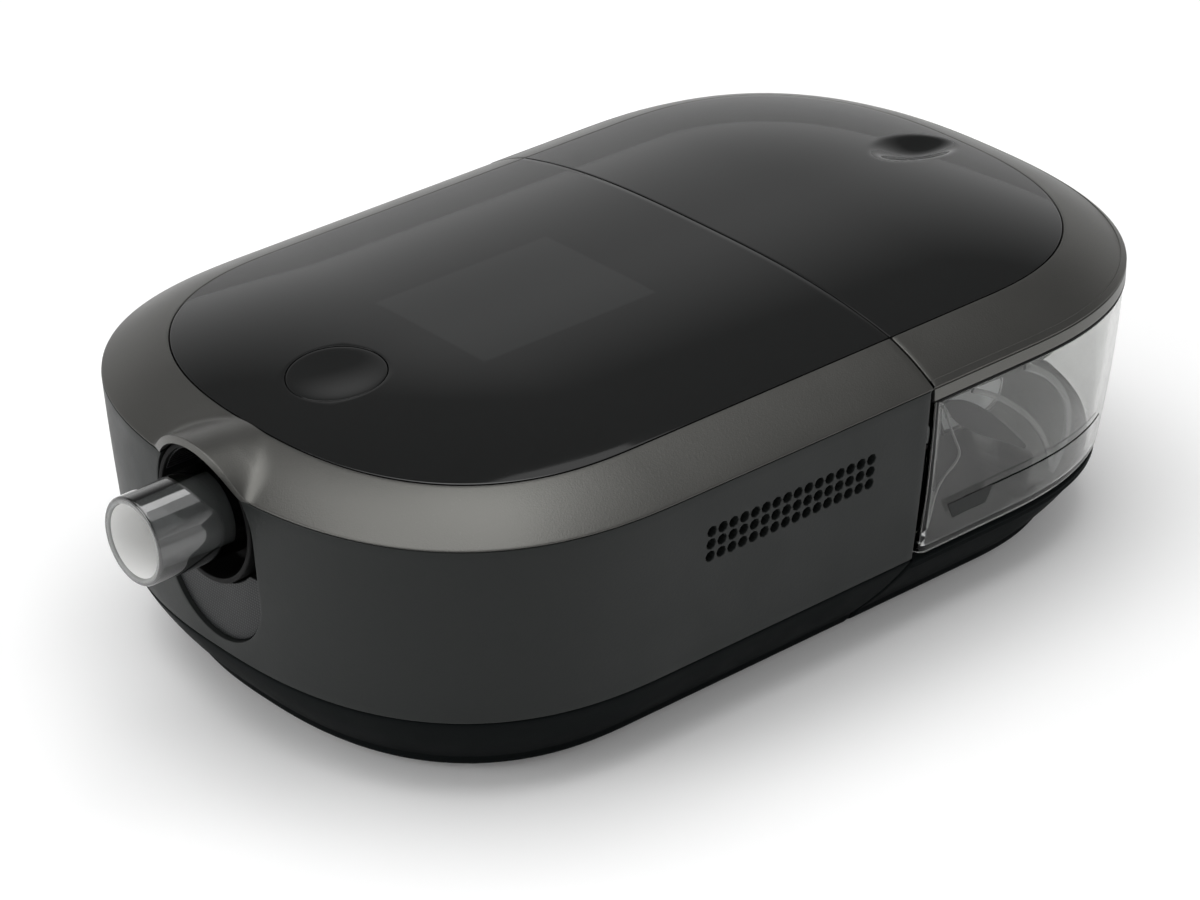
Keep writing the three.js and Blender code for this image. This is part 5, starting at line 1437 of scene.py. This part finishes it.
# the CAD pieces that keep their shape, and the finish of each
INNER = {
    "black_plastic": "filter_box button_switch",
    "white_plastic": "impeller blower_base blower_cover",
    "rubber": "blower_mount_1 blower_mount_2 blower_mount_3",
    "silicone": "port_seal_in port_seal_out return_channel blower_duct",
    "steel": "blower_motor button_spring water_plate"
    " case_screw_1 case_screw_2 case_screw_3 case_screw_4",
    "heater_alloy": "heater_plate",
    "circuit_board": "main_board control_board",
    "foam": "muffle_foam heater_pad",
    "filter_fibre": "pollen_filter fine_filter",
    "panel_plastic": "display_module",
}


def finish_inner():
    """Gives each CAD piece that stays its own finish, in every slot of its mesh."""
    for slot, nodes in INNER.items():
        for node in nodes.split():
            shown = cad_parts[node]
            if not shown.material_slots:
                shown.data.materials.append(finish(slot))
            for place in shown.material_slots:
                place.material = finish(slot)


# ---------------------------------------------------------------- stage


def softbox(name, centre, target, size, power):
    lamp = bpy.data.lights.new(name, "AREA")
    lamp.shape = "RECTANGLE"
    lamp.size, lamp.size_y = size
    lamp.energy = power
    thing = bpy.data.objects.new(name, lamp)
    thing.location = centre
    way = Vector(centre) - Vector(target)
    thing.rotation_euler = way.to_track_quat("Z", "Y").to_euler()
    bpy.context.scene.collection.objects.link(thing)


def make_camera(scene):
    """The photograph's view: a long lens from the front left, above."""
    azimuth, elevation, distance = math.radians(-41.506), math.radians(28.986), 1.1422
    flat = math.cos(elevation)
    back = Vector((math.sin(azimuth) * flat, -math.cos(azimuth) * flat, math.sin(elevation)))
    camera = bpy.data.cameras.new("view")
    camera.lens = 135.59
    camera.sensor_width = 36.0
    camera.sensor_fit = "HORIZONTAL"
    camera.clip_end = 50
    eye = bpy.data.objects.new("view", camera)
    target = Vector((-8.30, -8.07, 38.52)) * MILLI
    turn = back.to_track_quat("Z", "Y").to_matrix().to_4x4()
    eye.matrix_world = Matrix.Translation(target + back * distance) @ turn
    scene.collection.objects.link(eye)
    scene.camera = eye


def make_floor(scene):
    """Floor that turns up into a backdrop: one sheet round the object, flat up to a radius of
    2.2 m and then z = 0.8 (1 - sqrt(1 - s^2)) over the last 0.8 m."""
    s = np.linspace(0, 1, 9)[1:]
    t = np.linspace(0, FULL, 97)[:-1, None]
    flat, rise = 2.2, 0.8
    r = np.concatenate([np.linspace(0.001, flat, 12), flat + s * rise])
    z = np.concatenate([np.zeros(12), rise * (1 - np.sqrt(np.maximum(1 - s**2, 0)))])
    points, faces = turned(skin(r * np.cos(t), r * np.sin(t), z, closed=True))
    mesh = smooth_mesh("floor", points, faces.tolist())
    floor = bpy.data.objects.new("floor", mesh)
    scene.collection.objects.link(floor)
    material, tree, shader = fresh("floor")
    shader.inputs["Base Color"].default_value = (*scene.machine_finish.floor, 1)
    shader.inputs["Roughness"].default_value = 0.9
    shader.inputs["Specular IOR Level"].default_value = 0.1
    shader.inputs["Emission Color"].default_value = (1, 1, 1, 1)
    seen = add(tree, "ShaderNodeLightPath").outputs["Is Camera Ray"]
    tree.links.new(times(tree, seen, 0.07), shader.inputs["Emission Strength"])
    mesh.materials.append(material)


def make_room(scene):
    """The room: white for the camera; for gloss, white at the horizon, dark above it; an even
    grey for soft light."""
    soft = 0.52
    world = bpy.data.worlds.new("room")
    scene.world = world
    world.use_nodes = True
    tree = world.node_tree
    background = tree.nodes["Background"]
    path = add(tree, "ShaderNodeLightPath").outputs
    seen = maths(tree, "MAXIMUM", path["Is Camera Ray"], path["Is Transmission Ray"])
    way = add(tree, "ShaderNodeSeparateXYZ")
    tree.links.new(add(tree, "ShaderNodeTexCoord").outputs["Generated"], way.inputs[0])
    gloss = ranged(tree, way.outputs[2], 0.15, 0.60, 1.0, 0.12)
    shine = times(tree, path["Is Glossy Ray"], maths(tree, "SUBTRACT", gloss, soft))
    hidden = times(tree, maths(tree, "ADD", soft, shine), maths(tree, "SUBTRACT", 1.0, seen))
    tree.links.new(maths(tree, "ADD", hidden, seen), background.inputs["Strength"])
    background.inputs["Color"].default_value = (1, 1, 1, 1)


def make_stage(scene):
    make_camera(scene)
    make_floor(scene)
    make_room(scene)
    softbox("light_over", (-0.2, 0.15, 1.5), (0, 0, 0), (1.4, 1.4), 12)
    softbox("light_near", (0.12, -0.045, 0.52), (0.12, -0.045, 0), (0.36, 0.40), 0.34)
    softbox("light_left", (-1.6, 0.5, 0.6), (0, 0, 0.05), (0.8, 1.0), 7.5)
    scene.view_settings.view_transform = "Standard"


# ---------------------------------------------------------------- operators and panel


class MACHINE_OT_base(bpy.types.Operator):
    """Dark bowl under the machine, with its keel and the slanted seam to the cradle"""

    bl_idname = "machine.base"
    bl_label = "Base bowl"

    def execute(self, context):
        make_base(context.scene)
        return {"FINISHED"}


class MACHINE_OT_wall(bpy.types.Operator):
    """Drafted side wall with its vents, openings and ports"""

    bl_idname = "machine.wall"
    bl_label = "Side wall"

    def execute(self, context):
        make_wall(context.scene)
        return {"FINISHED"}


class MACHINE_OT_rim(bpy.types.Operator):
    """Satin rim round the top, with the hood over the outlet"""

    bl_idname = "machine.rim"
    bl_label = "Rim and hood"

    def execute(self, context):
        make_rim(context.scene)
        return {"FINISHED"}


class MACHINE_OT_gloss(bpy.types.Operator):
    """Domed gloss panel with the button's hole"""

    bl_idname = "machine.gloss"
    bl_label = "Gloss panel"

    def execute(self, context):
        make_panel(context.scene)
        return {"FINISHED"}


class MACHINE_OT_button(bpy.types.Operator):
    """Round hollowed start button"""

    bl_idname = "machine.button"
    bl_label = "Start button"

    def execute(self, context):
        make_button(context.scene)
        return {"FINISHED"}


class MACHINE_OT_outlet(bpy.types.Operator):
    """Outlet: the stepped cup, its ribs, the smoky tube and the plate below"""

    bl_idname = "machine.outlet"
    bl_label = "Air outlet"

    def execute(self, context):
        make_outlet(context.scene)
        return {"FINISHED"}


class MACHINE_OT_door(bpy.types.Operator):
    """Filter door in the far wall"""

    bl_idname = "machine.door"
    bl_label = "Filter door"

    def execute(self, context):
        make_door(context.scene)
        return {"FINISHED"}


class MACHINE_OT_inlet(bpy.types.Operator):
    """Power inlet with its socket and pins"""

    bl_idname = "machine.inlet"
    bl_label = "Power inlet"

    def execute(self, context):
        make_inlet()
        return {"FINISHED"}


class MACHINE_OT_cradle(bpy.types.Operator):
    """Cradle that carries the tank over the heater"""

    bl_idname = "machine.cradle"
    bl_label = "Tank cradle"

    def execute(self, context):
        make_cradle(context.scene)
        return {"FINISHED"}


class MACHINE_OT_tank(bpy.types.Operator):
    """Clear tank with its marks, the air guides and the splash arch inside it"""

    bl_idname = "machine.tank"
    bl_label = "Water tank"

    def execute(self, context):
        make_tank(context.scene)
        make_tank_inside()
        make_tank_marks(context.scene)
        return {"FINISHED"}


class MACHINE_OT_lid(bpy.types.Operator):
    """Lid: satin rim, gloss panel with the thumb scoop, seal and hinge"""

    bl_idname = "machine.lid"
    bl_label = "Tank lid"

    def execute(self, context):
        make_lid(context.scene)
        return {"FINISHED"}


class MACHINE_OT_feet(bpy.types.Operator):
    """Six rubber feet"""

    bl_idname = "machine.feet"
    bl_label = "Feet"

    def execute(self, context):
        make_feet()
        return {"FINISHED"}


class MACHINE_OT_inner(bpy.types.Operator):
    """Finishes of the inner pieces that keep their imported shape"""

    bl_idname = "machine.inner"
    bl_label = "Inner pieces"

    def execute(self, context):
        finish_inner()
        return {"FINISHED"}


class MACHINE_OT_stage(bpy.types.Operator):
    """Pale floor, soft lights and the camera"""

    bl_idname = "machine.stage"
    bl_label = "Stage"

    def execute(self, context):
        make_stage(context.scene)
        return {"FINISHED"}


STEPS = (
    MACHINE_OT_base,
    MACHINE_OT_wall,
    MACHINE_OT_rim,
    MACHINE_OT_gloss,
    MACHINE_OT_button,
    MACHINE_OT_outlet,
    MACHINE_OT_door,
    MACHINE_OT_inlet,
    MACHINE_OT_cradle,
    MACHINE_OT_tank,
    MACHINE_OT_lid,
    MACHINE_OT_feet,
    MACHINE_OT_inner,
    MACHINE_OT_stage,
)


class MACHINE_PT_panel(bpy.types.Panel):
    """Sizes, colours and steps of the machine"""

    bl_idname = "MACHINE_PT_panel"
    bl_label = "Breathing machine"
    bl_space_type = "VIEW_3D"
    bl_region_type = "UI"
    bl_category = "Machine"

    def draw(self, context):
        for name, kind in GROUPS:
            box = self.layout.box()
            values = getattr(context.scene, name)
            for key in kind.__annotations__:
                box.prop(values, key)
        for step in STEPS:
            self.layout.operator(step.bl_idname)


def register():
    for name, kind in GROUPS:
        bpy.utils.register_class(kind)
        setattr(bpy.types.Scene, name, PointerProperty(type=kind))
    for kind in (*STEPS, MACHINE_PT_panel):
        bpy.utils.register_class(kind)


def unregister():
    for kind in reversed((*STEPS, MACHINE_PT_panel)):
        bpy.utils.unregister_class(kind)
    for name, kind in reversed(GROUPS):
        delattr(bpy.types.Scene, name)
        bpy.utils.unregister_class(kind)


def main():
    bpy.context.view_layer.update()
    register()
    for step in STEPS:
        group, name = step.bl_idname.split(".")
        getattr(getattr(bpy.ops, group), name)()


if __name__ == "__main__":
    main()
